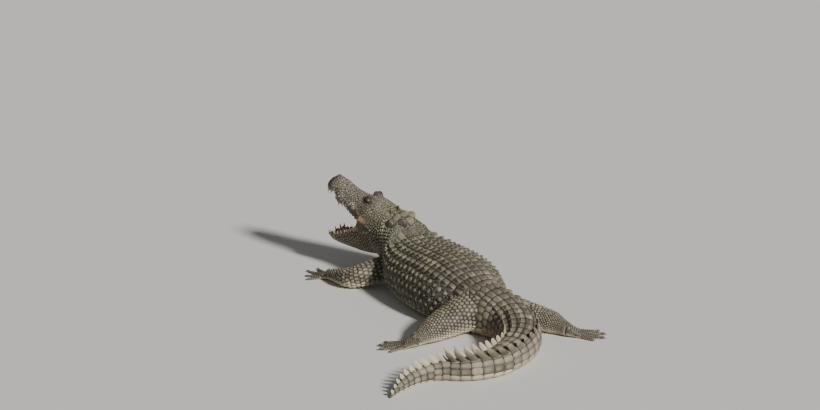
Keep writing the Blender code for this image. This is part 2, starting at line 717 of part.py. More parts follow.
def make_foot(name, joints, girth, digits, palm, side, web):
    """A hand or foot: palm, digits and webs in one solid, with a claw on each of its first three digits."""
    start, line, length = foot_frame(joints)
    ahead = np.array([math.cos(line), math.sin(line), 0.0])
    _, lower, _, wrist = limb_lines(joints)
    half, high = girth_at(girth, 1.0)
    half *= min(1 / float(wrist @ lower), 1.15)
    rings = [tube_ring(start + wrist * GAP, wrist, half, high, LIMB_SIDES)]
    slope = unit(ahead - np.array([0, 0, start[2] / (0.42 * length)]) * 0.5)
    for share, wide, tall in ((0.15, 0.92, 1.05), (0.30, 1.0, 0.80), (0.42, 0.80, 0.42)):
        centre = start + ahead * (length * share)
        centre[2] = start[2] * (1 - share / 0.42) + palm[1] * 0.36 * share / 0.42
        rings.append(tube_ring(centre, slope, palm[0] * wide, palm[1] * tall, LIMB_SIDES, 2.4))
    foot = solid(name, rings)
    lines = [digit_line(joints, digit, side, palm) for digit in digits]
    parts = [make_digit(f"{name}_d{k}", row, digit[2]) for k, (row, digit) in enumerate(zip(lines, digits))]
    combine(foot, [*parts, make_web(f"{name}_web", start + ahead * length * 0.15, lines, web)], "UNION")
    combine(foot, [floor_block()], "DIFFERENCE")
    finish_as(keep_largest(foot), "skin")
    for k, (row, digit) in enumerate(zip(lines, digits)):
        if digit[3]:
            finish_as(make_claw(f"claw_{name}_{k + 1}", row, digit[2]), "horn")


def make_leg(name, parts, joints, girth, digits, palm, side, web):
    """A whole leg: the length that meets the body, the length below it and the foot."""
    upper_name, lower_name, foot_name = (f"{part}_{name}" for part in parts)
    upper = limb_length(upper_name, joints, girth, 0, 6)
    combine(upper, [whole_body("body_cutter")], "DIFFERENCE")
    finish_as(keep_largest(upper), "skin")
    finish_as(limb_length(lower_name, joints, girth, 1, 5), "skin")
    make_foot(foot_name, joints, girth, digits, palm, side, web)


def main():
    for thing in list(bpy.data.objects):
        bpy.data.objects.remove(thing)
    make_head()
    neck = body_length("neck", *NECK, (False, True))
    combine(neck, [*head_cutters(), jaw_bone("jaw_cut", GAP)], "DIFFERENCE")
    finish_as(keep_largest(neck), "skin")
    finish_as(body_length("trunk", *TRUNK), "skin")
    make_tail()
    fore, hind = ("upper_arm", "forearm", "hand"), ("thigh", "shank", "foot")
    make_leg("left", fore, FORE_LEFT, FORE_GIRTH, FORE_DIGITS, FORE_PALM, -1, 0.30)
    make_leg("right", fore, FORE_RIGHT, FORE_GIRTH, FORE_DIGITS, FORE_PALM, 1, 0.30)
    make_leg("left", hind, HIND_LEFT, HIND_GIRTH, HIND_DIGITS, HIND_PALM, -1, 0.62)
    make_leg("right", hind, HIND_RIGHT, LOW_HIND_GIRTH, HIND_DIGITS, HIND_PALM, 1, 0.62)


main()
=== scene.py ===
"""A life-size Nile crocodile as a museum model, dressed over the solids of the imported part.

The frame is the part's own, in metres: the trunk lies along Y with the head towards -Y, the animal's left
is +X and the floor is Z = 0. A station is a distance along the spine behind the shoulders and a reach is a
distance forward of the jaw joint, as in the part. One skin is laid inside the flesh, and the scales are
solid plates that stand on it: each plate fills the cell between its neighbours, so every region has the
mosaic that its own seeds give it.
"""

from __future__ import annotations

import logging
import math
from dataclasses import dataclass, field
from enum import Enum
from typing import Any, Iterable, Sequence

import bmesh
import bpy
import numpy as np
from mathutils import Matrix, Vector
from mathutils.bvhtree import BVHTree
from mathutils.kdtree import KDTree


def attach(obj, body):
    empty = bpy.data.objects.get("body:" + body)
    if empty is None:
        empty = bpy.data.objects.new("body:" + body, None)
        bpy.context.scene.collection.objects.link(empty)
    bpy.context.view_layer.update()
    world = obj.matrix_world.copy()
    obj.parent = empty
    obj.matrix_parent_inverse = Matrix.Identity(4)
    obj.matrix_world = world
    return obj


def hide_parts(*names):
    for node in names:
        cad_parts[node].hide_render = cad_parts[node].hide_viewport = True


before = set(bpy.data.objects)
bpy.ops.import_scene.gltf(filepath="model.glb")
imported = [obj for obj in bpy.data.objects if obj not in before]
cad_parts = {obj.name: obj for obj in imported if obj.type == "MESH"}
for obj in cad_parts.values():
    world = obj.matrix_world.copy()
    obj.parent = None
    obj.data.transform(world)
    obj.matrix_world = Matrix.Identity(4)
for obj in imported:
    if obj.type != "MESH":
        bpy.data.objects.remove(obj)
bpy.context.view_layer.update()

log = logging.getLogger("crocodile")

Knots = Sequence[tuple[float, ...]]
Array = np.ndarray

# ---- the animal's sizes, as in the part ----

NECK_LENGTH = 0.15
TRUNK_LENGTH = 0.96
TAIL_LENGTH = 1.68
TAIL_END = TRUNK_LENGTH + TAIL_LENGTH
HEAD_LENGTH = 0.497
JAW_LENGTH = 0.470
JOINT_HEIGHT = 0.365
UPPER_JAW_PITCH = 27.0
LOWER_JAW_PITCH = -17.0

HEADINGS = (
    (-0.25, 120), (-0.15, 118), (-0.02, 106), (0.12, 93), (0.25, 90), (0.84, 90), (0.98, 106), (1.08, 103),
    (1.18, 88), (1.28, 76), (1.38, 66), (1.48, 53), (1.58, 39), (1.68, 26), (1.78, 16), (1.88, 2),
    (1.98, -15), (2.08, -32), (2.18, -20), (2.30, 5), (2.46, 25), (2.64, 38),
)
HALF_WIDTH = (
    (-0.22, 0.130), (-0.15, 0.146), (-0.05, 0.178), (0.05, 0.240), (0.20, 0.288), (0.48, 0.304),
    (0.70, 0.285), (0.86, 0.230), (0.96, 0.192), (1.10, 0.166), (1.35, 0.140), (1.60, 0.116), (1.85, 0.092),
    (2.10, 0.068), (2.32, 0.044), (2.52, 0.022), (2.64, 0.006),
)
TOP = (
    (-0.22, 0.470), (-0.15, 0.476), (-0.09, 0.464), (0.00, 0.420), (0.05, 0.350), (0.18, 0.338),
    (0.40, 0.358), (0.60, 0.368), (0.80, 0.344), (0.96, 0.300), (1.14, 0.256), (1.36, 0.224), (1.60, 0.192),
    (1.85, 0.162), (2.10, 0.130), (2.34, 0.096), (2.54, 0.056), (2.64, 0.018),
)
UNDERSIDE = (
    (-0.22, 0.180), (-0.15, 0.132), (-0.08, 0.080), (-0.02, 0.042), (0.05, 0.014), (0.12, -0.004),
    (0.22, -0.014),
    (0.95, -0.014), (1.25, -0.008), (2.15, -0.006), (2.50, -0.003), (2.64, 0.0),
)
WIDEST = (
    (-0.22, 0.365), (-0.12, 0.320), (0.0, 0.215), (0.20, 0.150), (0.45, 0.125), (0.80, 0.120),
    (1.05, 0.105),
    (1.55, 0.080), (2.05, 0.055), (2.42, 0.030), (2.64, 0.007),
)
SQUARE_BACK = 2.25
SQUARE_BELLY = 2.6

WHORL = ((0.96, 0.062), (1.55, 0.062), (2.05, 0.059), (2.64, 0.040))
CREST_HEIGHT = (
    (0.96, 0.010), (1.25, 0.018), (1.50, 0.034), (1.75, 0.054), (1.95, 0.068), (2.12, 0.074), (2.36, 0.060),
    (2.62, 0.018),
)
CREST_SPREAD = ((0.96, 0.100), (1.36, 0.108), (1.55, 0.086), (1.75, 0.072), (1.95, 0.040), (2.08, 0.028),
                (2.18, 0.012))
CREST_START = 1.24
CREST_MERGE = 2.15
CREST_RAKE = 0.70

HEAD_WIDTH = (
    (-0.03, 0.108), (0.02, 0.126), (0.08, 0.130), (0.14, 0.122), (0.20, 0.109), (0.26, 0.097),
    (0.31, 0.090), (0.35, 0.092), (0.385, 0.085), (0.415, 0.072), (0.445, 0.074), (0.470, 0.062),
    (0.488, 0.036), (0.497, 0.010),
)
HEAD_TOP = (
    (-0.03, 0.100), (0.02, 0.112), (0.12, 0.112), (0.17, 0.104), (0.21, 0.086), (0.26, 0.072),
    (0.32, 0.065),
    (0.38, 0.066), (0.43, 0.070), (0.47, 0.054), (0.497, 0.016),
)
HEAD_LIP = (
    (-0.03, -0.024), (0.08, -0.048), (0.16, -0.060), (0.22, -0.056), (0.27, -0.050), (0.305, -0.044),
    (0.345, -0.048), (0.380, -0.036), (0.412, -0.016), (0.445, -0.028), (0.485, -0.018), (0.497, -0.004),
)
HEAD_SQUARE = ((-0.03, 2.3), (0.05, 3.0), (0.14, 2.8), (0.22, 2.1), (0.38, 2.0), (0.497, 2.2))
PALATE_RISE = 0.014
JAW_WIDTH = (
    (0.0, 0.118), (0.08, 0.119), (0.14, 0.111), (0.20, 0.100), (0.26, 0.089), (0.32, 0.078), (0.37, 0.070),
    (0.41, 0.068), (0.445, 0.054), (0.462, 0.031), (0.470, 0.010),
)
JAW_LIP = (
    (0.0, -0.006), (0.10, 0.002), (0.20, -0.006), (0.27, 0.002), (0.33, -0.004), (0.37, -0.004),
    (0.41, 0.007), (0.470, 0.000),
)
JAW_BASE = (
    (0.0, -0.198), (0.10, -0.188), (0.20, -0.165), (0.30, -0.126), (0.38, -0.090), (0.43, -0.061),
    (0.458, -0.033), (0.470, -0.012),
)
FLOOR_DROP = 0.016
JOWL_CENTRE = (0.0, 0.020, 0.000)
JOWL_RADII = (0.128, 0.115, 0.108)
CHEEK_REACH = 0.212
CHEEK_HOLLOW = 0.016
CHEEK_THICK = 0.017
EYE_PLACE = (0.056, 0.170, 0.098)
EYE_RADIUS = 0.0185
# The swelling on the side of the snout, over the large rear teeth
SWELLING = (0.100, 0.250, -0.014)
BROW_RADII = (0.030, 0.040, 0.024)
NOSTRIL_PLACE = (0.0, 0.444, 0.052)
NOSTRIL_RADII = (0.031, 0.030, 0.021)

TOOTH_SPACING = 0.027
UPPER_TEETH = (
    (0.22, 0.014), (0.27, 0.018), (0.31, 0.023), (0.345, 0.036), (0.38, 0.022), (0.41, 0.015),
    (0.445, 0.032),
    (0.497, 0.020),
)
LOWER_TEETH = (
    (0.21, 0.014), (0.26, 0.020), (0.30, 0.024), (0.34, 0.018), (0.38, 0.020), (0.41, 0.038), (0.44, 0.024),
    (0.470, 0.028),
)

FORE_LEFT = ((0.10, -0.475, 0.140), (0.385, -0.545, 0.072), (0.432, -0.745, 0.042), (0.497, -0.966, 0.0))
FORE_RIGHT = (
    (-0.10, -0.470, 0.140), (-0.375, -0.500, 0.072), (-0.440, -0.700, 0.042), (-0.540, -0.905, 0.0),
)
HIND_LEFT = ((0.05, 0.466, 0.150), (0.318, 0.500, 0.105), (0.546, 0.537, 0.052), (0.749, 0.439, 0.0))
HIND_RIGHT = ((-0.05, 0.470, 0.125), (-0.316, 0.660, 0.068), (-0.385, 0.846, 0.044), (-0.575, 0.985, 0.0))
FORE_GIRTH = (
    (0.0, 0.080, 0.080), (0.22, 0.080, 0.078), (0.50, 0.073, 0.070), (0.62, 0.068, 0.062),
    (0.85, 0.050, 0.045), (1.0, 0.042, 0.034),
)
HIND_GIRTH = (
    (0.0, 0.115, 0.120), (0.25, 0.112, 0.112), (0.50, 0.098, 0.094), (0.70, 0.080, 0.076),
    (0.88, 0.054, 0.052), (1.0, 0.045, 0.042),
)
LOW_HIND_GIRTH = (
    (0.0, 0.115, 0.115), (0.25, 0.112, 0.098), (0.50, 0.098, 0.072), (0.70, 0.080, 0.064),
    (0.88, 0.054, 0.050), (1.0, 0.045, 0.042),
)
FORE_DIGITS = (
    (48, 0.46, 0.013, True), (23, 0.60, 0.014, True), (0, 0.64, 0.013, True), (-24, 0.56, 0.011, False),
    (-50, 0.44, 0.010, False),
)
HIND_DIGITS = (
    (26, 0.54, 0.017, True), (9, 0.66, 0.018, True), (-8, 0.66, 0.016, True), (-26, 0.54, 0.013, False),
)
FORE_PALM = (0.042, 0.026)
HIND_PALM = (0.048, 0.030)
CLAW_LENGTH = 0.030

# ---- sizes of the dressing ----

COAT_DEPTH = 0.005
HEAD_DEPTH = 0.0022
FLOOR_CLEARANCE = 0.0012
SKIN_VOXEL = 0.0042
SKIN_FACES = 185_000
SPINE_STEP = 0.005
# How far from the lip's line the lining of the mouth shows, and how far out and back its corner reaches
LINING_BAND = 0.022
CORNER_SPREAD = 0.095
CORNER_REACH = 0.17
# Half the size of the smallest scales, which fill the gaps between the oval ones
GRAIN_SIZE = 0.0085
FLOOR_HALF = 60
FLOOR_LEVEL = -0.0008


# ---- numbers ----


def profile(knots: Knots, at: Any) -> Array:
    """Reads a smooth curve that passes through knots and never overshoots them.

    Args:
        knots: (place, value) pairs in rising order of place.
        at: the place or places to read.

    Returns:
        The values there, in the shape of the places.
    """
    places, values = (np.array(column, float) for column in zip(*knots))
    at = np.clip(at, places[0], places[-1])
    steps = np.diff(places)
    slopes = np.diff(values) / steps
    same_way = slopes[:-1] * slopes[1:] > 0
    mean = 2 * slopes[:-1] * slopes[1:] / np.where(same_way, slopes[:-1] + slopes[1:], 1)
    tangents = np.concatenate([slopes[:1], np.where(same_way, mean, 0), slopes[-1:]])
    k = np.clip(np.searchsorted(places, at, side="right") - 1, 0, len(steps) - 1)
    h, u = steps[k], (at - places[k]) / steps[k]
    return (
        values[k] * (1 + 2 * u) * (1 - u) ** 2
        + values[k + 1] * u**2 * (3 - 2 * u)
        + h * tangents[k] * u * (1 - u) ** 2
        + h * tangents[k + 1] * u**2 * (u - 1)
    )


def ease(low: float, high: float, value: Any) -> Array:
    """A smooth step from 0 at low to 1 at high."""
    share = np.clip((np.asarray(value, float) - low) / (high - low), 0, 1)
    return share * share * (3 - 2 * share)


def unit(vectors: Any) -> Array:
    """The vectors at length one, along the last axis."""
    vectors = np.asarray(vectors, float)
    return vectors / np.maximum(np.linalg.norm(vectors, axis=-1, keepdims=True), 1e-12)


def circle(count: int) -> Array:
    """Angles evenly round a full turn, in radians."""
    return np.arange(count) * 2 * math.pi / count


def profiles(at: Any, *curves: Knots) -> list[Array]:
    """Reads several curves at the same places."""
    return [profile(knots, at) for knots in curves]


def oval(angles: Any, half_width: Any, up: Any, down: Any, square_up: Any, square_down: Any) -> tuple:
    """A rounded section.

    Args:
        angles: angles from the top, in radians.
        half_width: its half width.
        up: its height over the widest point.
        down: its depth below the widest point.
        square_up: the superellipse power over that point, 2 for an ellipse.
        square_down: the same below it.

    Returns:
        Distances across and above the widest point.
    """
    sine, cosine = np.sin(angles), np.cos(angles)
    power = 2 / np.where(cosine >= 0, square_up, square_down)
    across = half_width * np.sign(sine) * np.abs(sine) ** power
    above = np.where(cosine >= 0, up, down) * np.sign(cosine) * np.abs(cosine) ** power
    return across, above


def ripple(points: Array, pitch: float, seed: int = 0) -> Array:
    """Smooth pseudo-random values from -1 to 1 in space, made of crossing waves.

    Args:
        points: places, one row each.
        pitch: the distance over which the values change.
        seed: picks another pattern.

    Returns:
        One value for each place.
    """
    dice = np.random.default_rng(seed + 17)
    total = np.zeros(len(points))
    for _ in range(7):
        way = unit(dice.normal(size=3)) * 2 * math.pi / pitch * dice.uniform(0.6, 1.5)
        total += np.sin(points @ way + dice.uniform(0, 6.3))
    return np.clip(total / 3.2, -1, 1)


# ---- meshes ----


def mesh_object(
    name: str, verts: Array, faces: Iterable, finish: Finish, smooth: bool = True
) -> bpy.types.Object:
    """Makes a mesh object and dresses it.

    Args:
        name: the piece's name.
        verts: places, one row each.
        faces: rows of vertex numbers.
        finish: the finish it takes.
        smooth: whether it is shaded smooth.

    Returns:
        The object, linked to the scene.
    """
    mesh = bpy.data.meshes.new(name)
    mesh.from_pydata(np.asarray(verts).tolist(), [], [list(map(int, face)) for face in faces])
    mesh.validate()
    made = bpy.data.objects.new(name, mesh)
    bpy.context.collection.objects.link(made)
    if smooth:
        mesh.shade_smooth()
    mesh.materials.append(finish.material())
    return made


def lofted(rings: Sequence[Array]) -> tuple[Array, list]:
    """Vertices and faces of a closed tube through rings of points.

    Args:
        rings: arrays of points, all of one length.

    Returns:
        The vertices and the faces.
    """
    rings = np.asarray(rings, float)
    rows, sides = rings.shape[:2]
    faces = []
    for row in range(rows - 1):
        here, there = row * sides, (row + 1) * sides
        faces += [
            (here + k, here + (k + 1) % sides, there + (k + 1) % sides, there + k) for k in range(sides)
        ]
    faces.append(tuple(range(sides))[::-1])
    faces.append(tuple((rows - 1) * sides + k for k in range(sides)))
    return rings.reshape(-1, 3), faces


def gathered(shells: Iterable[tuple[Array, Any]]) -> tuple[Array, list]:
    """Vertices and faces of several forms in one list of each."""
    verts, faces, offset = [], [], 0
    for points, loops in shells:
        verts.append(points)
        faces += [[corner + offset for corner in loop] for loop in loops]
        offset += len(points)
    return np.concatenate(verts), faces


def turn_out(made: bpy.types.Object) -> None:
    """Turns the faces of a mesh's shells out and shades them smooth."""
    build = bmesh.new()
    build.from_mesh(made.data)
    bmesh.ops.recalc_face_normals(build, faces=build.faces)
    build.to_mesh(made.data)
    build.free()
    made.data.shade_smooth()


def search_tree(places: Array) -> KDTree:
    """Places in a search tree, numbered by their rows."""
    tree = KDTree(len(places))
    for number, place in enumerate(places):
        tree.insert(place, number)
    tree.balance()
    return tree


def ball(centre: Any, radii: Any, matrix: Matrix, rows: int = 20, around: int = 32) -> tuple[Array, list]:
    """Vertices and faces of an ellipsoid placed by a matrix.

    Args:
        centre: its centre in the matrix's own frame.
        radii: its half sizes there.
        matrix: moves that frame into the scene.
        rows: bands from pole to pole.
        around: faces round each band.

    Returns:
        The vertices and the faces.
    """
    polar = np.linspace(0.02, math.pi - 0.02, rows)
    turn = circle(around)
    ring = np.stack([np.cos(turn), np.sin(turn)], 1)
    rings = [
        np.column_stack([ring * math.sin(angle), np.full(around, math.cos(angle))]) * radii
        + np.array(centre)
        for angle in polar
    ]
    verts, faces = lofted(rings)
    return moved(verts, matrix), faces


def moved(points: Array, matrix: Matrix) -> Array:
    """Points moved by a matrix."""
    turn = np.array(matrix)
    return np.asarray(points, float) @ turn[:3, :3].T + turn[:3, 3]


def put_numbers(made: bpy.types.Object, **numbers: Array) -> None:
    """Stores one number for each vertex under each of some names that a finish reads."""
    for name, values in numbers.items():
        layer = made.data.attributes.new(name, "FLOAT", "POINT")
        layer.data.foreach_set("value", np.asarray(values, np.float32))


def put_unwrap(made: bpy.types.Object, places: Array) -> None:
    """Stores a UV place for each vertex as the map that the colours are baked to."""
    layer = made.data.uv_layers.new(name="OFBake")
    corner_verts = np.zeros(len(made.data.loops), np.int32)
    made.data.loops.foreach_get("vertex_index", corner_verts)
    layer.data.foreach_set("uv", np.clip(places, 0.001, 0.999)[corner_verts].astype(np.float32).ravel())


def vert_arrays(made: bpy.types.Object) -> tuple[Array, Array]:
    """Places and normals of an object's vertices."""
    count = len(made.data.vertices)
    places, normals = np.empty(count * 3, np.float32), np.empty(count * 3, np.float32)
    made.data.vertices.foreach_get("co", places)
    made.data.vertex_normals.foreach_get("vector", normals)
    return places.reshape(-1, 3).astype(float), normals.reshape(-1, 3).astype(float)


# ---- finishes ----


class Wire:
    """A node's output that adds Math nodes when it is used in an expression."""

    def __init__(self, nodes: "Nodes", socket: Any) -> None:
        """Wraps a socket of a node tree."""
        self.nodes, self.socket = nodes, socket

    def _maths(self, operation: str, *values: Any) -> "Wire":
        """Adds one Math node and returns its output."""
        return self.nodes.add("ShaderNodeMath", {"operation": operation}, values)

    def __add__(self, other: Any) -> "Wire":
        """Adds a value."""
        return self._maths("ADD", self, other)

    def __radd__(self, other: Any) -> "Wire":
        """Adds to a value."""
        return self._maths("ADD", other, self)

    def __sub__(self, other: Any) -> "Wire":
        """Takes a value away."""
        return self._maths("SUBTRACT", self, other)

    def __rsub__(self, other: Any) -> "Wire":
        """Is taken from a value."""
        return self._maths("SUBTRACT", other, self)

    def __mul__(self, other: Any) -> "Wire":
        """Multiplies by a value."""
        return self._maths("MULTIPLY", self, other)

    def __rmul__(self, other: Any) -> "Wire":
        """Multiplies a value."""
        return self._maths("MULTIPLY", other, self)

    def low(self, other: Any) -> "Wire":
        """The lower of this and a value."""
        return self._maths("MINIMUM", self, other)

    def high(self, other: Any) -> "Wire":
        """The higher of this and a value."""
        return self._maths("MAXIMUM", self, other)

    def ease(self, start: float, end: float) -> "Wire":
        """A smooth step from 0 at the start to 1 at the end."""
        settings = {"interpolation_type": "SMOOTHSTEP"}
        return self.nodes.add("ShaderNodeMapRange", settings, (self, start, end, 0.0, 1.0))


class Nodes:
    """A material's node tree, built by one method that adds any node."""

    def __init__(self, name: str) -> None:
        """Starts a material with a Principled shader."""
        self.look = bpy.data.materials.new(name)
        self.look.use_nodes = True
        self.tree = self.look.node_tree
        self.shader = self.tree.nodes["Principled BSDF"]

    def add(self, kind: str, settings: dict, inputs: Any = (), output: int | str = 0) -> Wire:
        """Adds one node.

        Args:
            kind: the node's type.
            settings: its properties, which are set first.
            inputs: values or wires, in order or by socket name.
            output: which output is returned.

        Returns:
            The output as a wire.
        """
        node = self.tree.nodes.new(kind)
        for key, value in settings.items():
            setattr(node, key, value)
        for key, value in inputs.items() if isinstance(inputs, dict) else enumerate(inputs):
            self.feed(node.inputs[key], value)
        return Wire(self, node.outputs[output])

    def feed(self, socket: Any, value: Any) -> None:
        """Links a wire to a socket, or sets the socket to a value."""
        if isinstance(value, Wire):
            self.tree.links.new(value.socket, socket)
        elif isinstance(value, tuple) and len(value) == 3 and socket.type == "RGBA":
            socket.default_value = (*value, 1.0)
        else:
            socket.default_value = value

    def where(self) -> Wire:
        """The place on the object, in metres."""
        return self.add("ShaderNodeTexCoord", {}, (), "Object")

    def stored(self, name: str) -> Wire:
        """A number stored on the vertices."""
        return self.add("ShaderNodeAttribute", {"attribute_name": name}, (), "Fac")

    def noise(self, where: Wire, scale: float, detail: float = 3.0, rough: float = 0.55) -> Wire:
        """Fractal noise from 0 to 1."""
        inputs = {"Vector": where, "Scale": scale, "Detail": detail, "Roughness": rough}
        return self.add("ShaderNodeTexNoise", {}, inputs)

    def cells(self, where: Wire, scale: float, feature: str = "DISTANCE_TO_EDGE") -> Wire:
        """A mosaic of cells: the distance to their edges, or another feature."""
        inputs = {"Vector": where, "Scale": scale, "Randomness": 0.85}
        return self.add("ShaderNodeTexVoronoi", {"feature": feature}, inputs)

    def stretched(self, where: Wire, by: tuple[float, float, float]) -> Wire:
        """A place with its three axes scaled."""
        return self.add("ShaderNodeMapping", {}, {"Vector": where, "Scale": by})

    def blend(self, share: Any, first: Any, second: Any) -> Wire:
        """Mixes two colours by a share."""
        node = self.tree.nodes.new("ShaderNodeMix")
        node.data_type = "RGBA"
        for socket, value in ((node.inputs[0], share), (node.inputs[6], first), (node.inputs[7], second)):
            self.feed(socket, value)
        return Wire(self, node.outputs[2])

    def bump(self, height: Wire, distance: float, strength: float) -> Wire:
        """A bump node over a height in units of the distance."""
        inputs = {"Height": height, "Distance": distance, "Strength": strength}
        return self.add("ShaderNodeBump", {}, inputs)

    def finish(self, **values: Any) -> bpy.types.Material:
        """Feeds the shader's sockets by name, with _ for a space, and returns the material."""
        for name, value in values.items():
            self.feed(self.shader.inputs[name.replace("_", " ")], value)
        return self.look


_made: dict[Any, bpy.types.Material] = {}


@dataclass(frozen=True)
class Finish:
    """A named finish whose material is made once."""

    name: str

    def material(self) -> bpy.types.Material:
        """The finish's material, made the first time that it is asked for."""
        if self not in _made:
            _made[self] = self.build(Nodes(self.name))
        return _made[self]

    def build(self, nodes: Nodes) -> bpy.types.Material:
        """Lays out the nodes."""
        raise NotImplementedError


@dataclass(frozen=True)
class HideFinish(Finish):
    """Scaly hide: dusty olive-grey plates with painted shade in the grooves between them, a creamy
    underside and a pale mouth; some regions carry painted light and shade.
    """

    dark: tuple = (0.040, 0.036, 0.027)
    olive: tuple = (0.135, 0.120, 0.070)
    grey: tuple = (0.170, 0.148, 0.112)
    green: tuple = (0.095, 0.112, 0.056)
    cream: tuple = (0.620, 0.540, 0.390)
    groove_shade: tuple = (0.016, 0.013, 0.010)
    dust_and_painted_light: tuple = (0.460, 0.380, 0.265)
    flesh: tuple = (0.420, 0.215, 0.120)
    lining: tuple = (0.500, 0.390, 0.270)
    gape: tuple = (0.066, 0.050, 0.033)
    stain: tuple = (0.058, 0.034, 0.030)
    ash: tuple = (0.118, 0.103, 0.094)

    def build(self, nodes: Nodes) -> bpy.types.Material:
        """Lays out the hide's nodes."""
        where = nodes.where()
        relief, tone, pale = nodes.stored("relief"), nodes.stored("tone"), nodes.stored("pale")
        bare, mouth, moss = nodes.stored("bare"), nodes.stored("mouth"), nodes.stored("moss")
        broad, middle = nodes.noise(where, 4.5, 4.0), nodes.noise(where, 28.0, 4.0, 0.6)
        fine = nodes.noise(where, 240.0, 4.0, 0.65)
        pebble = nodes.cells(where, 95.0)
        crease = nodes.noise(nodes.stretched(where, (1.0, 2.6, 1.0)), 60.0, 3.0, 0.7)
        grain = bare * pebble.ease(0.02, 0.16) + (1.0 - bare)
        body = nodes.blend(broad.ease(0.35, 0.65), self.olive, self.grey)
        body = nodes.blend(moss * middle.ease(0.25, 0.6) * 0.75, body, self.green)
        body = nodes.blend(nodes.stored("ash") * 0.8, body, self.ash)
        # The tone darkens or pales the hide: mostly its own colour at random, and painted light and shade
        # where a region's tones are raised or lowered.
        body = nodes.blend((0.60 - tone).high(0.0) * 1.7, body, self.dark)
        body = nodes.blend((tone - 0.55).high(0.0) * 1.1, body, self.dust_and_painted_light)
        body = nodes.blend(middle.ease(0.45, 0.72) * 0.45, body, self.dark)
        body = nodes.blend(pale, body, self.cream)
        facing = nodes.add("ShaderNodeNewGeometry", {}, (), "Normal")
        facing_up = nodes.add("ShaderNodeSeparateXYZ", {}, (facing,), 2)
        # Upward-facing surfaces are blended in patches towards the pale dust colour.
        upward_pale = facing_up.ease(0.15, 0.95) * fine.ease(0.35, 0.7) * 0.26
        body = nodes.blend(upward_pale, body, self.dust_and_painted_light)
        crown = relief.ease(0.66, 1.0) * (0.30 + 0.7 * fine)
        body = nodes.blend(crown * 0.50, body, self.dust_and_painted_light)
        # Painted shade: the low-relief grooves between plates, the plates' rims and lower slopes, and the
        # cracks between pebbles on bare skin are darkened towards a near-black shade colour.
        valley = relief.ease(0.10, 0.55) * grain
        body = nodes.blend((1.0 - valley) * (1.0 - 0.45 * pale), body, self.groove_shade)
        # Painted shade darkens the tip of the snout and the skin round the eyes.
        stain = nodes.stored("stain") * (0.7 + 0.5 * middle)
        body = nodes.blend(stain.low(1.0), body, self.stain)
        lining = nodes.blend(middle.ease(0.3, 0.8), self.flesh, self.lining)
        # Painted shade: the outside of the skin stretched between the jaws is dark brown, partly its own
        # colour and partly shade.
        lining = nodes.blend(nodes.stored("gape"), lining, self.gape)
        colour = nodes.blend(mouth, body, lining)
        pits = nodes.cells(where, 330.0, "F1").ease(0.0, 0.45)
        height = 0.45 * fine + 0.25 * pits + 0.5 * bare * pebble.ease(0.0, 0.2) + 0.35 * crease
        rough = 0.52 + 0.26 * fine - 0.22 * mouth
        return nodes.finish(
            Base_Color=colour, Roughness=rough, Normal=nodes.bump(height, 0.0016, 0.75),
            Specular_IOR_Level=0.4,
        )


@dataclass(frozen=True)
class ToothFinish(Finish):
    """Tooth enamel, ivory at the tip and stained at the root."""

    enamel: tuple = (0.72, 0.66, 0.52)
    stain: tuple = (0.30, 0.20, 0.10)

    def build(self, nodes: Nodes) -> bpy.types.Material:
        """Lays out the enamel's nodes."""
        where, relief = nodes.where(), nodes.stored("relief")
        streaks = nodes.noise(where, 180.0, 3.0)
        colour = nodes.blend(relief.ease(0.0, 0.6) * (0.55 + 0.6 * streaks), self.stain, self.enamel)
        rough = 0.22 + 0.2 * streaks
        return nodes.finish(Base_Color=colour, Roughness=rough, Normal=nodes.bump(streaks, 0.0004, 0.5))


@dataclass(frozen=True)
class HornFinish(Finish):
    """Claw horn, dark with long fibres and a paler tip where it wears."""

    dark: tuple = (0.050, 0.040, 0.030)
    wear_and_painted_light: tuple = (0.260, 0.215, 0.155)

    def build(self, nodes: Nodes) -> bpy.types.Material:
        """Lays out the horn's nodes."""
        where, relief = nodes.where(), nodes.stored("relief")
        fibre = nodes.noise(nodes.stretched(where, (1.0, 1.0, 4.0)), 150.0, 3.0, 0.6)
        colour = nodes.blend(relief.ease(0.45, 1.0) * 0.6 + 0.4 * fibre, self.dark, self.wear_and_painted_light)
        rough = 0.35 + 0.25 * fibre
        return nodes.finish(Base_Color=colour, Roughness=rough, Normal=nodes.bump(fibre, 0.0005, 0.6))


@dataclass(frozen=True)
class EyeFinish(Finish):
    """A crocodile's eye: yellow-green iris flecked with brown round an upright slit."""

    iris: tuple = (0.42, 0.36, 0.09)
    fleck: tuple = (0.13, 0.10, 0.03)
    rim: tuple = (0.03, 0.025, 0.02)

    def build(self, nodes: Nodes) -> bpy.types.Material:
        """Lays out the eye's nodes."""
        out, slit = nodes.stored("out"), nodes.stored("slit")
        fibres = nodes.noise(nodes.where(), 420.0, 4.0, 0.65)
        colour = nodes.blend(fibres.ease(0.4, 0.7), self.iris, self.fleck)
        colour = nodes.blend(out.ease(0.80, 1.0), colour, self.rim)
        colour = nodes.blend(1.0 - slit.ease(0.85, 1.1), colour, (0.002, 0.002, 0.002))
        return nodes.finish(Base_Color=colour, Roughness=0.05, Coat_Weight=1.0, Coat_Roughness=0.02)


@dataclass(frozen=True)
class TongueFinish(Finish):
    """The moist, warty skin of the tongue."""

    flesh: tuple = (0.66, 0.43, 0.30)
    pale: tuple = (0.74, 0.60, 0.44)

    def build(self, nodes: Nodes) -> bpy.types.Material:
        """Lays out the tongue's nodes."""
        where = nodes.where()
        warts = nodes.cells(where, 210.0, "F1")
        cloud = nodes.noise(where, 22.0, 4.0)
        colour = nodes.blend(cloud.ease(0.35, 0.7), self.flesh, self.pale)
        return nodes.finish(
            Base_Color=colour, Roughness=0.32 + 0.2 * cloud, Normal=nodes.bump(warts, 0.0010, 0.6)
        )


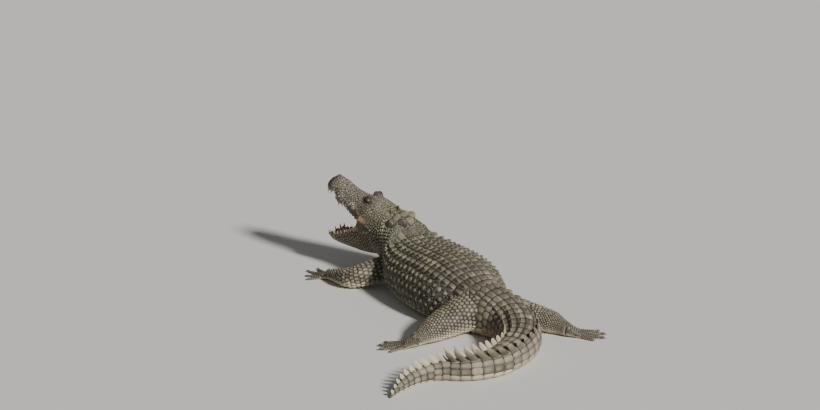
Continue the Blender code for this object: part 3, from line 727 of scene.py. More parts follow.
@dataclass(frozen=True)
class FloorFinish(Finish):
    """The plain pale floor."""

    tint: tuple = (0.62, 0.60, 0.56)

    def build(self, nodes: Nodes) -> bpy.types.Material:
        """Lays out the floor's nodes."""
        return nodes.finish(Base_Color=self.tint, Roughness=0.9)


HIDE = HideFinish("hide")
ENAMEL = ToothFinish("enamel")
HORN = HornFinish("horn")
EYE = EyeFinish("eye")
TONGUE = TongueFinish("tongue")
FLOOR = FloorFinish("floor")


# ---- forms: the surfaces that skin and scales share ----


class Chart:
    """A surface laid out as rows along a form and columns round it, read smoothly between its points."""

    columns = 161

    def __init__(self, places: Array, rings: Array) -> None:
        """Spaces the columns evenly along each ring and works out the normals.

        Args:
            places: the place of each row along the form.
            rings: one open line of points for each row.
        """
        run = np.cumsum(np.linalg.norm(np.diff(rings, axis=1), axis=2), 1)
        run = np.concatenate([np.zeros((len(run), 1)), run], 1)
        self.places, self.girth = np.asarray(places, float), run[:, -1]
        even = np.linspace(0, 1, self.columns)
        self.points = np.stack([
            np.stack([np.interp(even * length, line, ring[:, axis]) for axis in range(3)], 1)
            for ring, line, length in zip(rings, run, self.girth)
        ])
        along, across = np.gradient(self.points, axis=0), np.gradient(self.points, axis=1)
        normals = unit(np.cross(along, across))
        outward = self.points - self.points.mean(1, keepdims=True)
        self.normals = normals * np.sign(np.sum(normals * outward, 2).mean())
        self.ahead = unit(along)

    def read(self, place: Any, share: Any) -> tuple[Array, Array, Array]:
        """Reads the surface.

        Args:
            place: places along the form.
            share: shares of the way round it, from 0 to 1.

        Returns:
            The points, the normals and the directions along the form.
        """
        row = np.interp(place, self.places, np.arange(len(self.places)))
        column = np.clip(share, 0, 1) * (self.columns - 1)
        r = np.minimum(row.astype(int), len(self.places) - 2)
        c = np.minimum(column.astype(int), self.columns - 2)
        u, v = (row - r)[..., None], (column - c)[..., None]
        out = [
            (grid[r, c] * (1 - v) + grid[r, c + 1] * v) * (1 - u)
            + (grid[r + 1, c] * (1 - v) + grid[r + 1, c + 1] * v) * u
            for grid in (self.points, self.normals, self.ahead)
        ]
        return out[0], unit(out[1]), unit(out[2])

    def girth_at(self, place: Any) -> Array:
        """The length of the surface's line across the form at a place."""
        return np.interp(place, self.places, self.girth)


class Spine:
    """The line that the neck, trunk and tail follow over the floor."""

    def __init__(self) -> None:
        """Lays the line out from its headings, with the trunk's middle at the origin."""
        self.stations = np.arange(HEADINGS[0][0], TAIL_END + SPINE_STEP, SPINE_STEP)
        self.heading = np.radians(profile(HEADINGS, self.stations))
        steps = np.stack([np.cos(self.heading), np.sin(self.heading)], 1) * SPINE_STEP
        places = np.cumsum(steps, 0) - steps / 2
        middle = [np.interp(TRUNK_LENGTH / 2, self.stations, column) for column in places.T]
        self.places = places - middle

    def at(self, station: Any) -> tuple[Array, Array, Array]:
        """The x, y and heading at stations."""
        columns = (*self.places.T, self.heading)
        return tuple(np.interp(station, self.stations, column) for column in columns)


SPINE = Spine()


@dataclass
class BodyForm:
    """Neck, trunk and tail."""

    depth: float = COAT_DEPTH
    spacing: float = 0.012
    sides: int = 72

    def rings(self, stations: Array, angles: Array, depth: float) -> Array:
        """Rings of the body's surface, laid a depth inside the solids."""
        x, y, turn = (value[:, None] for value in SPINE.at(stations))
        half, top, low, widest = profiles(stations[:, None], HALF_WIDTH, TOP, UNDERSIDE, WIDEST)
        inset = np.minimum(depth, half * 0.3)
        up, down = top - widest - inset, widest - low - inset * 0.3
        across, above = oval(angles[None, :], half - inset, up, down, SQUARE_BACK, SQUARE_BELLY)
        height = np.maximum(widest + above, FLOOR_CLEARANCE)
        return np.stack([x + across * np.sin(turn), y - across * np.cos(turn), height], 2)

    def stations(self) -> Array:
        """Stations from inside the head to the tip of the tail."""
        return np.linspace(-0.22, TAIL_END - 0.006, round((TAIL_END + 0.22) / self.spacing))

    def shell(self) -> tuple[Array, list]:
        """The closed form."""
        return lofted(self.rings(self.stations(), circle(self.sides), self.depth))

    def chart(self) -> Chart:
        """The surface for the scales, from the underside over the back, the animal's left last."""
        stations = self.stations()
        return Chart(stations, self.rings(stations, np.linspace(-math.pi, math.pi, 241), self.depth))


class HeadForm:
    """Skull with upper jaw, lower jaw, jowls and cheeks."""

    def __init__(self) -> None:
        """Works out the three frames that turn about the jaw joint."""
        self.level = self.frame_at(0.0)
        self.upper = self.frame_at(UPPER_JAW_PITCH)
        self.lower = self.frame_at(LOWER_JAW_PITCH)

    @staticmethod
    def frame_at(pitch: float) -> Matrix:
        """Turns (across, -reach, height) at the jaw joint into the scene, for a jaw raised by a pitch."""
        x, y, turn = SPINE.at(-NECK_LENGTH)
        return (
            Matrix.Translation((float(x), float(y), JOINT_HEIGHT))
            @ Matrix.Rotation(float(turn) - math.pi / 2, 4, "Z")
            @ Matrix.Rotation(math.radians(-pitch), 4, "X")
        )

    @staticmethod
    def dome(reach: Array, angles: Array, depth: float = HEAD_DEPTH) -> Array:
        """Lines over the skull and upper jaw from lip to lip, in the upper frame."""
        half, top, lip, square = profiles(reach[:, None], HEAD_WIDTH, HEAD_TOP, HEAD_LIP, HEAD_SQUARE)
        half, top, lip = half - depth, top - depth, lip + depth * 0.5
        across, above = oval(angles[None, :], half, top - lip, 0.0, square, 2.0)
        reaches = np.broadcast_to(-reach[:, None], across.shape)
        return np.stack([across, reaches, lip + above], 2)

    @staticmethod
    def chin(reach: Array, angles: Array, depth: float = HEAD_DEPTH) -> Array:
        """Lines under the lower jaw from lip to lip, in the lower frame."""
        half, lip, base = profiles(reach[:, None], JAW_WIDTH, JAW_LIP, JAW_BASE)
        half, lip, base = half - depth, lip - depth * 0.5, base + depth
        across, above = oval(angles[None, :], half, 0.0, lip - base, 2.0, 2.5)
        reaches = np.broadcast_to(-reach[:, None], across.shape)
        return np.stack([across, reaches, lip + above], 2)

    def shells(self) -> list[tuple[Array, list]]:
        """The closed forms that make up the head."""
        reach = np.concatenate([np.linspace(-0.02, 0.46, 82), np.linspace(0.465, HEAD_LENGTH - 0.001, 10)])
        dome = self.dome(reach, np.linspace(-math.pi / 2, math.pi / 2, 49))
        half, lip, top = profiles(reach, HEAD_WIDTH, HEAD_LIP, HEAD_TOP)
        shares = np.linspace(0.86, -0.86, 17)
        rise = np.minimum(PALATE_RISE, 0.3 * (top - lip))[:, None] * (1 - shares**2)
        arch = np.stack([half[:, None] * shares, -reach[:, None] + 0 * rise, lip[:, None] + rise], 2)
        upper = lofted(np.concatenate([dome, arch], 1))
        reach = np.concatenate([np.linspace(0.0, 0.44, 74), np.linspace(0.445, JAW_LENGTH - 0.001, 9)])
        chin = self.chin(reach, np.linspace(math.pi / 2, 3 * math.pi / 2, 49))
        half, lip, base = profiles(reach, JAW_WIDTH, JAW_LIP, JAW_BASE)
        drop = np.minimum(FLOOR_DROP, 0.4 * (lip - base))[:, None] * (1 - np.abs(shares) ** 3)
        bed = np.stack([-half[:, None] * shares, -reach[:, None] + 0 * drop, lip[:, None] - drop], 2)
        lower = lofted(np.concatenate([chin, bed], 1))
        brows = [
            ball((side * (EYE_PLACE[0] - 0.009), -EYE_PLACE[1], EYE_PLACE[2] - 0.001),
                 np.array(BROW_RADII) - HEAD_DEPTH, self.upper)
            for side in (-1, 1)
        ]
        across, forward, height = NOSTRIL_PLACE
        nose = ball((across, -forward, height), np.array(NOSTRIL_RADII) - HEAD_DEPTH, self.upper)
        across, forward, height = JOWL_CENTRE
        jowl = ball((across, -forward, height), np.array(JOWL_RADII) - COAT_DEPTH, self.level, 30, 48)
        return [
            (moved(upper[0], self.upper), upper[1]), (moved(lower[0], self.lower), lower[1]),
            *brows, nose, jowl, self.cheek(-1), self.cheek(1),
        ]

    def cheek(self, side: int) -> tuple[Array, list]:
        """The fold of skin at one corner of the mouth, a fan between the jaws with a hollow edge."""
        rings = []
        for pitch in np.linspace(LOWER_JAW_PITCH - 4, UPPER_JAW_PITCH + 2, 15):
            hollow = CHEEK_HOLLOW * max(1 - (pitch / UPPER_JAW_PITCH) ** 2, 0.0)
            reach = CHEEK_REACH - hollow
            ring = [
                (side * (float(profile(HEAD_WIDTH, back)) - CHEEK_THICK * 0.75 + out * CHEEK_THICK * 0.42),
                 -back, -0.014)
                for back, out in ((0.02, -1), (0.65 * reach, -1), (reach, 0), (0.65 * reach, 1), (0.02, 1))
            ]
            turn = self.level @ Matrix.Rotation(math.radians(-float(pitch)), 4, "X")
            rings.append(moved(np.array(ring), turn))
        return lofted(rings)

    def upper_chart(self) -> Chart:
        """The top and sides of the skull and upper jaw, from the right lip to the left."""
        reach = np.linspace(-0.02, HEAD_LENGTH - 0.004, 110)
        rings = self.dome(reach, np.linspace(-math.pi / 2, math.pi / 2, 121))
        return Chart(reach, moved(rings.reshape(-1, 3), self.upper).reshape(rings.shape))

    def lower_chart(self) -> Chart:
        """The sides and underside of the lower jaw, from the left lip to the right."""
        reach = np.linspace(0.0, JAW_LENGTH - 0.004, 100)
        rings = self.chin(reach, np.linspace(math.pi / 2, 3 * math.pi / 2, 121))
        return Chart(reach, moved(rings.reshape(-1, 3), self.lower).reshape(rings.shape))

    def jowl_chart(self) -> Chart:
        """The muscle round the jaw joint, in rings from back to front that start underneath."""
        across, forward, height = JOWL_CENTRE
        wide, deep, tall = np.array(JOWL_RADII) - COAT_DEPTH
        reach = np.linspace(-0.93, 0.93, 40)
        size = np.sqrt(1 - reach**2)[:, None]
        turn = np.linspace(-math.pi, math.pi, 121)[None, :]
        rings = np.stack([
            across + wide * size * np.sin(turn), -forward - deep * reach[:, None] + 0 * turn,
            height + tall * size * np.cos(turn),
        ], 2)
        return Chart(forward + deep * reach, moved(rings.reshape(-1, 3), self.level).reshape(rings.shape))


HEAD = HeadForm()


@dataclass
class LimbForm:
    """One leg: two lengths with a rounded joint, and a foot with webbed digits."""

    joints: Knots
    girth: Knots
    digits: Knots
    palm: tuple[float, float]
    side: int
    web: float
    rounding: float = 0.32
    sides: int = 40

    def __post_init__(self) -> None:
        """Keeps the joints as points and measures the two lengths."""
        self.points = np.array(self.joints, float)
        self.lengths = np.linalg.norm(np.diff(self.points, axis=0), axis=1)

    def path(self, share: Array) -> Array:
        """Points on the leg's middle line at shares of the way from its root (0) to the wrist (1)."""
        root, bend, wrist = self.points[:3]
        share = np.asarray(share, float)[:, None]
        first, second = root + (bend - root) * share * 2, bend + (wrist - bend) * (share * 2 - 1)
        straight = np.where(share < 0.5, first, second)
        near = self.rounding / 2
        u = np.clip((share - 0.5 + near) / (2 * near), 0, 1)
        start, end = bend + (root - bend) * self.rounding, bend + (wrist - bend) * self.rounding
        curve = (1 - u) ** 2 * start + 2 * u * (1 - u) * bend + u**2 * end
        return np.where(np.abs(share - 0.5) < near, curve, straight)

    def ring(self, centre: Array, ahead: Array, half: float, high: float, angles: Array) -> Array:
        """An oval line across the leg, from its underside over its top."""
        side = unit(np.array([ahead[1], -ahead[0], 0.0]))
        up = np.cross(side, ahead)
        up = up * np.sign(up[2])
        across, above = oval(angles, half, high, high, 2.2, 2.2)
        return centre + across[:, None] * side + above[:, None] * up

    def rings(self, shares: Array, angles: Array, depth: float) -> Array:
        """Lines across the leg at shares of its length."""
        centres = self.path(shares)
        step = 0.01
        ahead = unit(self.path(np.minimum(shares + step, 1)) - self.path(np.maximum(shares - step, 0)))
        places, halves, heights = zip(*self.girth)
        half = profile(list(zip(places, halves)), shares) - depth
        high = profile(list(zip(places, heights)), shares) - depth
        return np.stack([self.ring(*row, angles) for row in zip(centres, ahead, half, high)])

    def chart(self) -> Chart:
        """The surface of the two lengths, by distance from the root."""
        shares = np.linspace(0.0, 1.0, 60)
        rings = self.rings(shares, np.linspace(-math.pi, math.pi, 97), COAT_DEPTH * 0.5)
        return Chart(shares * self.lengths[:2].sum(), rings)

    def foot_frame(self) -> tuple[Array, float, float]:
        """The wrist, the foot's direction over the floor and its length."""
        line = (self.points[3] - self.points[2])[:2]
        return self.points[2], math.atan2(line[1], line[0]), float(np.linalg.norm(line))

    def digit_points(self, digit: tuple) -> Array:
        """Root, knuckle and tip of one digit."""
        start, line, length = self.foot_frame()
        angle, share, radius, _ = digit
        turn = line + self.side * math.radians(angle)
        ahead = np.array([math.cos(line), math.sin(line)])
        across = np.array([-math.sin(line), math.cos(line)])
        root = start[:2] + ahead * length * 0.26 + across * self.side * self.palm[0] * angle / 60
        tip = root + np.array([math.cos(turn), math.sin(turn)]) * length * share
        knuckle = root + 0.45 * (tip - root)
        return np.array([[*root, radius + 0.010], [*knuckle, radius * 0.95], [*tip, radius * 0.45]])

    def digit_line(self, digit: tuple, share: Array) -> tuple[Array, Array]:
        """Middle points and radii along one digit, with its knuckles."""
        points, radius = self.digit_points(digit), digit[2]
        share = np.asarray(share, float)
        places = points[0] + (points[2] - points[0]) * share[:, None]
        places[:, 2] = np.interp(share, (0, 0.45, 1), points[:, 2])
        knuckles = sum(np.exp(-(((share - at) / 0.07) ** 2)) for at in (0.30, 0.58, 0.80))
        size = radius * (1.02 - 0.42 * share**1.6 + 0.07 * knuckles)
        return places, size * np.sqrt(np.clip((1.03 - share) / 0.12, 0.05, 1))

    def shells(self) -> list[tuple[Array, list]]:
        """The closed forms of the leg: its tube, palm, digits and web."""
        turn = circle(self.sides)
        tube = lofted(self.rings(np.linspace(0.0, 1.0, 50), turn, COAT_DEPTH * 0.5))
        start, line, length = self.foot_frame()
        ahead = np.array([math.cos(line), math.sin(line), 0.0])
        _, halves, heights = (np.array(column) for column in zip(*self.girth))
        slope = unit(ahead - np.array([0, 0, start[2] / (0.42 * length)]) * 0.5)
        knots = ((-0.04, halves[-1], heights[-1]), (0.15, self.palm[0] * 0.92, self.palm[1] * 1.05),
                 (0.30, self.palm[0], self.palm[1] * 0.80),
                  (0.42, self.palm[0] * 0.80, self.palm[1] * 0.42))
        shares = np.linspace(-0.04, 0.42, 14)
        wide = profile([row[:2] for row in knots], shares)
        tall = profile([(row[0], row[2]) for row in knots], shares)
        rings = []
        for share, half, high in zip(shares, wide, tall):
            centre = start + ahead * length * share
            centre[2] = start[2] * (1 - share / 0.42) + self.palm[1] * 0.36 * share / 0.42
            rings.append(self.ring(centre, slope, half, high, turn))
        shells = [tube, lofted(rings)]
        for digit in self.digits:
            middles, sizes = self.digit_line(digit, np.linspace(0, 1, 26))
            along = unit(middles[-1] - middles[0])
            rows = [self.ring(p, along, s, s * 0.86, turn[::2]) for p, s in zip(middles, sizes)]
            shells.append(lofted(rows))
        shells.append(self.web_shell(start + ahead * length * 0.12))
        return shells

    def web_shell(self, heel: Array) -> tuple[Array, list]:
        """The web between the digits, hollow between each two."""
        lines = [self.digit_points(digit) for digit in self.digits]
        edges = [line[0] + (line[2] - line[0]) * self.web for line in lines]
        outline = [edges[0]]
        for here, there, a, b in zip(lines, lines[1:], edges, edges[1:]):
            inward = (a + b - here[0] - there[0]) * 0.14
            for share in (0.2, 0.4, 0.6, 0.8, 1.0):
                outline.append(a + (b - a) * share - inward * 4 * share * (1 - share))
        rim = np.array([heel, *outline])
        rims = [np.column_stack([rim[:, :2], np.full(len(rim), height)]) for height in (0.0, 0.0088)]
        return lofted(rims)


LIMBS = {
    "hand_left": LimbForm(FORE_LEFT, FORE_GIRTH, FORE_DIGITS, FORE_PALM, -1, 0.30),
    "hand_right": LimbForm(FORE_RIGHT, FORE_GIRTH, FORE_DIGITS, FORE_PALM, 1, 0.30),
    "foot_left": LimbForm(HIND_LEFT, HIND_GIRTH, HIND_DIGITS, HIND_PALM, -1, 0.62),
    "foot_right": LimbForm(HIND_RIGHT, LOW_HIND_GIRTH, HIND_DIGITS, HIND_PALM, 1, 0.62),
}


# ---- markings: what skin and scales have in common ----


def head_places(points: Array, matrix: Matrix) -> Array:
    """Places as (across, reach, height) in one of the head's frames."""
    local = moved(points, matrix.inverted())
    return local * (1, -1, 1)


class Markings:
    """The numbers that tint skin and scales alike, worked out from place and facing."""

    @staticmethod
    def mouth(points: Array, normals: Array) -> Array:
        """1 inside the mouth and on the stretched skin at its corners."""
        up, down = head_places(points, HEAD.upper), head_places(points, HEAD.lower)
        level = head_places(points, HEAD.level)
        face_up = normals @ np.array(HEAD.upper)[:3, :3]
        face_down = normals @ np.array(HEAD.lower)[:3, :3]
        half, lip = profiles(up[:, 1], HEAD_WIDTH, HEAD_LIP)
        palate = (np.abs(up[:, 0]) < half * 0.80) & (face_up[:, 2] < -0.15)
        palate &= np.abs(up[:, 2] - lip) < LINING_BAND
        half, lip = profiles(down[:, 1], JAW_WIDTH, JAW_LIP)
        bed = (np.abs(down[:, 0]) < half * 0.84) & (face_down[:, 2] > 0.15)
        bed &= np.abs(down[:, 2] - lip) < LINING_BAND
        ahead = (level[:, 1] > 0.02) & (level[:, 1] < 0.5)
        pitch = np.degrees(np.arctan2(level[:, 2], np.maximum(level[:, 1], 1e-4)))
        wedge = ahead & (pitch > LOWER_JAW_PITCH - 2) & (pitch < UPPER_JAW_PITCH - 3)
        distance = np.hypot(level[:, 1], level[:, 2])
        corner = wedge & (distance < CORNER_REACH) & (np.abs(level[:, 0]) < CORNER_SPREAD)
        outside = wedge & (np.abs(level[:, 0]) >= CORNER_SPREAD)
        membrane = np.where(outside, ease(0.085, 0.130, distance), 0.0)
        return np.maximum((palate & (up[:, 1] > 0.02)) | (bed & (down[:, 1] > 0.02)) | corner, membrane)

    @staticmethod
    def pale(points: Array, normals: Array) -> Array:
        """1 on the creamy underside, with a painted highlight round each swelling of the snout."""
        trunk = ease(-0.60, -0.40, points[:, 1]) * (1 - ease(0.30, 0.50, points[:, 1]))
        trunk = trunk * (1 - ease(0.30, 0.40, np.abs(points[:, 0])))
        under = 1 - ease(-0.75 - 0.2 * trunk, 0.05 - 0.45 * trunk, normals[:, 2])
        wander = 0.18 * ripple(points, 0.12, 3)
        low = 1 - ease(0.02, 0.16, points[:, 2] + 0.04 * wander)
        up = head_places(points, HEAD.upper)
        away = np.hypot(up[:, 1] - SWELLING[1], up[:, 2] - SWELLING[2])
        # Painted highlight: a pale ring round the swelling on each side of the snout.
        ring = 0.45 * np.exp(-(((away - 0.025) / 0.007) ** 2)) * (np.abs(up[:, 0]) > 0.06)
        return np.clip(under * (0.45 + 0.55 * low) + wander * under + ring, 0, 1)

    @staticmethod
    def moss(points: Array) -> Array:
        """1 where the neck and the fore part of the back are greenish."""
        fore = 1 - ease(-0.45, 0.25, points[:, 1])
        return fore * ease(0.20, 0.36, points[:, 2]) * (0.65 + 0.35 * ripple(points, 0.10, 5))

    @staticmethod
    def stain(points: Array) -> Array:
        """Painted shade: 1 on the tip of the snout and round the eyes, which are darkened as if in shade.
        """
        up = head_places(points, HEAD.upper)
        nose = ease(0.430, 0.480, up[:, 1]) * ease(-0.035, -0.01, up[:, 2])
        aside = np.abs(up[:, 0]) - EYE_PLACE[0]
        away = np.sqrt(aside**2 + (up[:, 1] - EYE_PLACE[1]) ** 2 + (up[:, 2] - EYE_PLACE[2] + 0.008) ** 2)
        return np.maximum(nose, 0.85 * (1 - ease(0.022, 0.050, away)))

    @staticmethod
    def ash(points: Array) -> Array:
        """1 on the grey snout."""
        up = head_places(points, HEAD.upper)
        snout = ease(0.06, 0.24, up[:, 1]) * ease(-0.06, -0.03, up[:, 2])
        return snout * (0.85 + 0.3 * ripple(points, 0.06, 17))

    @staticmethod
    def gape(points: Array) -> Array:
        """1 on the skin stretched between the jaws, brown and darkened further as painted shade, 0 in the
        pink of the mouth and on a patch near the upper jaw's rear.
        """
        level = head_places(points, HEAD.level)
        pitch = np.degrees(np.arctan2(level[:, 2], np.maximum(level[:, 1], 1e-4)))
        outside = ease(0.050, 0.070, np.abs(level[:, 0]))
        rear = 1 - ease(0.150, 0.185, np.hypot(level[:, 1], level[:, 2]))
        return outside * (1 - rear * ease(UPPER_JAW_PITCH - 22, UPPER_JAW_PITCH - 13, pitch))


def put_markings(
    made: bpy.types.Object, points: Array, normals: Array, painted_highlight: Array | float = 0.0
) -> None:
    """Stores the shared markings on a piece's vertices, with the pale marking raised to a given painted
    highlight.
    """
    put_numbers(
        made, mouth=Markings.mouth(points, normals),
        pale=np.maximum(Markings.pale(points, normals), painted_highlight),
        moss=Markings.moss(points), stain=Markings.stain(points), gape=Markings.gape(points),
        ash=Markings.ash(points),
    )


# ---- the skin ----


@dataclass
class Bulge:
    """A rise or hollow on the head, round a line between two places in a head frame."""

    start: tuple[float, float, float]
    end: tuple[float, float, float]
    radius: float
    amount: float

    def at(self, places: Array) -> Array:
        """The displacement at (across, reach, height) places, the same on both sides."""
        mirrored = np.column_stack([np.abs(places[:, 0]), places[:, 1:]])
        start, end = np.array(self.start), np.array(self.end)
        line = end - start
        length = max(float(line @ line), 1e-9)
        share = np.clip((mirrored - start) @ line / length, 0, 1)
        away = np.linalg.norm(mirrored - start - share[:, None] * line, axis=1)
        return self.amount * np.exp(-((away / self.radius) ** 2))


@dataclass
class Skin:
    """One skin over the whole animal, fused from the forms, with its folds, eye openings and bony rises."""

    voxel: float = SKIN_VOXEL
    faces: int = SKIN_FACES
    bulges: tuple[Bulge, ...] = (
        Bulge((0.078, 0.010, 0.100), (0.070, 0.045, 0.108), 0.020, 0.007),
        Bulge((0.080, 0.070, 0.098), (0.072, 0.140, 0.100), 0.012, 0.003),
        Bulge((0.000, 0.060, 0.112), (0.000, 0.150, 0.108), 0.034, -0.004),
        Bulge((0.100, 0.050, 0.062), (0.100, 0.130, 0.070), 0.010, -0.005),
        Bulge((0.052, 0.225, 0.082), (0.026, 0.400, 0.056), 0.013, 0.004),
        Bulge((0.000, 0.270, 0.068), (0.000, 0.330, 0.062), 0.020, 0.003),
        Bulge((0.090, 0.345, -0.020), (0.088, 0.360, -0.020), 0.024, 0.007),
        Bulge(SWELLING, SWELLING, 0.024, 0.012),
        Bulge(SWELLING, SWELLING, 0.0085, -0.008),
        Bulge((0.104, 0.180, 0.010), (0.096, 0.300, 0.016), 0.012, -0.004),
        Bulge((0.068, 0.442, 0.000), (0.050, 0.470, 0.004), 0.020, 0.005),
        Bulge((0.016, 0.452, 0.074), (0.024, 0.444, 0.070), 0.0075, -0.010),
        Bulge((0.026, 0.464, 0.062), (0.010, 0.468, 0.066), 0.010, 0.003),
    )

    def build(self) -> bpy.types.Object:
        """Fuses, smooths and shapes the skin.

        Returns:
            The skin object, which stands for every node of flesh.
        """
        shells = [BodyForm().shell(), *HEAD.shells()]
        for limb in LIMBS.values():
            shells += limb.shells()
        skin = mesh_object("skin", *gathered(shells), HIDE)
        turn_out(skin)
        self.fuse(skin)
        self.shape(skin)
        return skin

    def fuse(self, skin: bpy.types.Object) -> None:
        """Remeshes the shells as one surface, blends the joints and thins the faces off the head."""
        voxel = self.voxel * 1.0
        remesh = skin.modifiers.new("fuse", "REMESH")
        remesh.mode, remesh.voxel_size = "VOXEL", voxel
        self.apply(skin)
        points, _ = vert_arrays(skin)
        blend = self.weights(skin, "blend", self.joint_share(points))
        even = skin.modifiers.new("even", "SMOOTH")
        even.factor, even.iterations = 0.5, 4
        joints = skin.modifiers.new("joints", "SMOOTH")
        joints.factor, joints.iterations, joints.vertex_group = 0.5, 46, blend
        self.apply(skin)
        points, _ = vert_arrays(skin)
        up = head_places(points, HEAD.level)
        near_head = ease(-0.16, -0.08, up[:, 1]) * ease(0.10, 0.20, points[:, 2])
        hands = np.max([ease(0.10, 0.07, np.linalg.norm(points - limb.points[3], axis=1) * 0.5)
                        for limb in LIMBS.values()], axis=0)
        body = self.weights(skin, "body", 1 - np.maximum(near_head, hands))
        total = len(skin.data.polygons) * 2
        if total > self.faces:
            thin = skin.modifiers.new("thin", "DECIMATE")
            thin.ratio, thin.vertex_group, thin.vertex_group_factor = self.faces / total, body, 4.0
            self.apply(skin)

    @staticmethod
    def joint_share(points: Array) -> Array:
        """1 where a leg grows out of the trunk, less at its wrist or ankle, fading away from them."""
        share = np.zeros(len(points))
        for limb in LIMBS.values():
            big = limb.girth[0][1]
            meet = limb.points[0] + (limb.points[1] - limb.points[0]) * 0.62
            share = np.maximum(share, 1 - ease(big * 1.0, big * 1.9, np.linalg.norm(points - meet, axis=1)))
            away = np.linalg.norm(points - limb.points[2], axis=1)
            share = np.maximum(share, 0.6 * (1 - ease(0.040, 0.080, away)))
        return share

    @staticmethod
    def weights(made: bpy.types.Object, name: str, values: Array) -> str:
        """Stores weights in a vertex group and returns its name."""
        group = made.vertex_groups.new(name=name)
        steps = np.round(np.clip(values, 0, 1) * 20).astype(int)
        for step in range(1, 21):
            chosen = np.flatnonzero(steps == step)
            if len(chosen):
                group.add(chosen.tolist(), step / 20, "REPLACE")
        return name

    @staticmethod
    def apply(made: bpy.types.Object) -> None:
        """Makes the modifiers' result the object's own mesh."""
        graph = bpy.context.evaluated_depsgraph_get()
        mesh = bpy.data.meshes.new_from_object(made.evaluated_get(graph), depsgraph=graph)
        made.modifiers.clear()
        made.vertex_groups.clear()
        old, made.data = made.data, mesh
        bpy.data.meshes.remove(old)
        if not mesh.materials:
            mesh.materials.append(HIDE.material())

    def shape(self, skin: bpy.types.Object) -> None:
        """Raises the bony rises, sinks the folds and opens the eyes."""
        points, normals = vert_arrays(skin)
        up = head_places(points, HEAD.upper)
        shift = sum(bulge.at(up) for bulge in self.bulges)
        shift += self.lip_waves(points, up) + self.folds(points)
        points = points + normals * shift[:, None]
        for side in (-1, 1):
            points = Eye(side).open_socket(points)
        points[:, 2] = np.maximum(points[:, 2], FLOOR_CLEARANCE)
        skin.data.vertices.foreach_set("co", points.astype(np.float32).ravel())
        skin.data.update()
        skin.data.shade_smooth()

    @staticmethod
    def lip_waves(points: Array, up: Array) -> Array:
        """Swellings over the roots of the teeth and upright wrinkles on the sides of the snout."""
        half, lip = profiles(up[:, 1], HEAD_WIDTH, HEAD_LIP)
        on_side = np.exp(-(((np.abs(up[:, 0]) - half) / 0.02) ** 2)) * ease(0.12, 0.2, up[:, 1])
        near_lip = np.exp(-(((up[:, 2] - lip - 0.010) / 0.016) ** 2))
        swell = 0.0040 * np.cos(2 * math.pi * up[:, 1] / TOOTH_SPACING) * near_lip
        above = np.exp(-(((up[:, 2] - lip - 0.040) / 0.026) ** 2)) * (1 - ease(0.42, 0.46, up[:, 1]))
        wander = 0.006 * ripple(points, 0.07, 12)
        wrinkle = 0.0036 * np.sin(2 * math.pi * (up[:, 1] + wander + 0.35 * up[:, 2]) / 0.021) * above
        down = head_places(points, HEAD.lower)
        half, lip = profiles(down[:, 1], JAW_WIDTH, JAW_LIP)
        low_side = np.exp(-(((np.abs(down[:, 0]) - half) / 0.02) ** 2)) * ease(0.12, 0.2, down[:, 1])
        low_lip = np.exp(-(((down[:, 2] - lip + 0.012) / 0.014) ** 2))
        gum = 0.0026 * np.cos(2 * math.pi * down[:, 1] / TOOTH_SPACING) * low_side * low_lip
        return (swell + wrinkle) * on_side + gum

    @staticmethod
    def folds(points: Array) -> Array:
        """Loose folds on the neck, behind the jowls and in the flanks before and behind the legs."""
        level = head_places(points, HEAD.level)
        back = -level[:, 1]
        neck = ease(0.02, 0.08, back) * (1 - ease(0.17, 0.26, back)) * (1 - ease(0.02, 0.09, level[:, 2]))
        wander = 0.012 * ripple(points, 0.10, 8)
        shift = -0.0065 * neck * (0.5 + 0.5 * np.sin(2 * math.pi * (back + wander) / 0.040)) ** 2
        for limb in LIMBS.values():
            meet = limb.points[0] + (limb.points[1] - limb.points[0]) * 0.72
            away = np.linalg.norm(points - meet, axis=1)
            near = np.exp(-(((away - 0.12) / 0.05) ** 2)) * (1 - ease(0.16, 0.24, points[:, 2]))
            creases = np.sin(2 * math.pi * (points[:, 1] + 2 * wander) / 0.032)
            shift += -0.0045 * near * (0.5 + 0.5 * creases)
        return shift

    def dress(self, skin: bpy.types.Object, seeds: "Seeds") -> None:
        """Stores the markings, with bare skin where no scale stands.

        Args:
            skin: the skin.
            seeds: every scale's seed.
        """
        points, normals = vert_arrays(skin)
        put_markings(skin, points, normals)
        tree = search_tree(seeds.places)
        gap = np.empty(len(points))
        for number, place in enumerate(points):
            _, nearest, distance = tree.find(place)
            gap[number] = distance / seeds.sizes[nearest]
        bare = ease(0.95, 1.35, gap)
        # The skin under and between the plates takes low relief, which the hide paints dark as shade in the
        # grooves.
        put_numbers(skin, bare=bare, relief=bare * 0.62, tone=0.5 + 0.12 * ripple(points, 0.05, 9))


# ---- the scales ----


@dataclass(frozen=True)
class ScaleKind:
    """How one kind of scale stands on the skin."""

    sides: int
    rings: tuple[float, ...]
    height: float
    crown: float = 3.0
    keel: float = 0.0
    keel_width: float = 0.22
    tilt: float = 0.0
    groove: float = 0.0016
    corner: float = 9.0
    length: float = 1.0
    width: float = 1.0
    # The relief at a plate's rim, at its ends and at its sides; low relief there is painted dark as shade.
    seams: tuple[float, float] = (0.0, 0.0)
    sink: float = 0.0022
    slant: float = 0.50


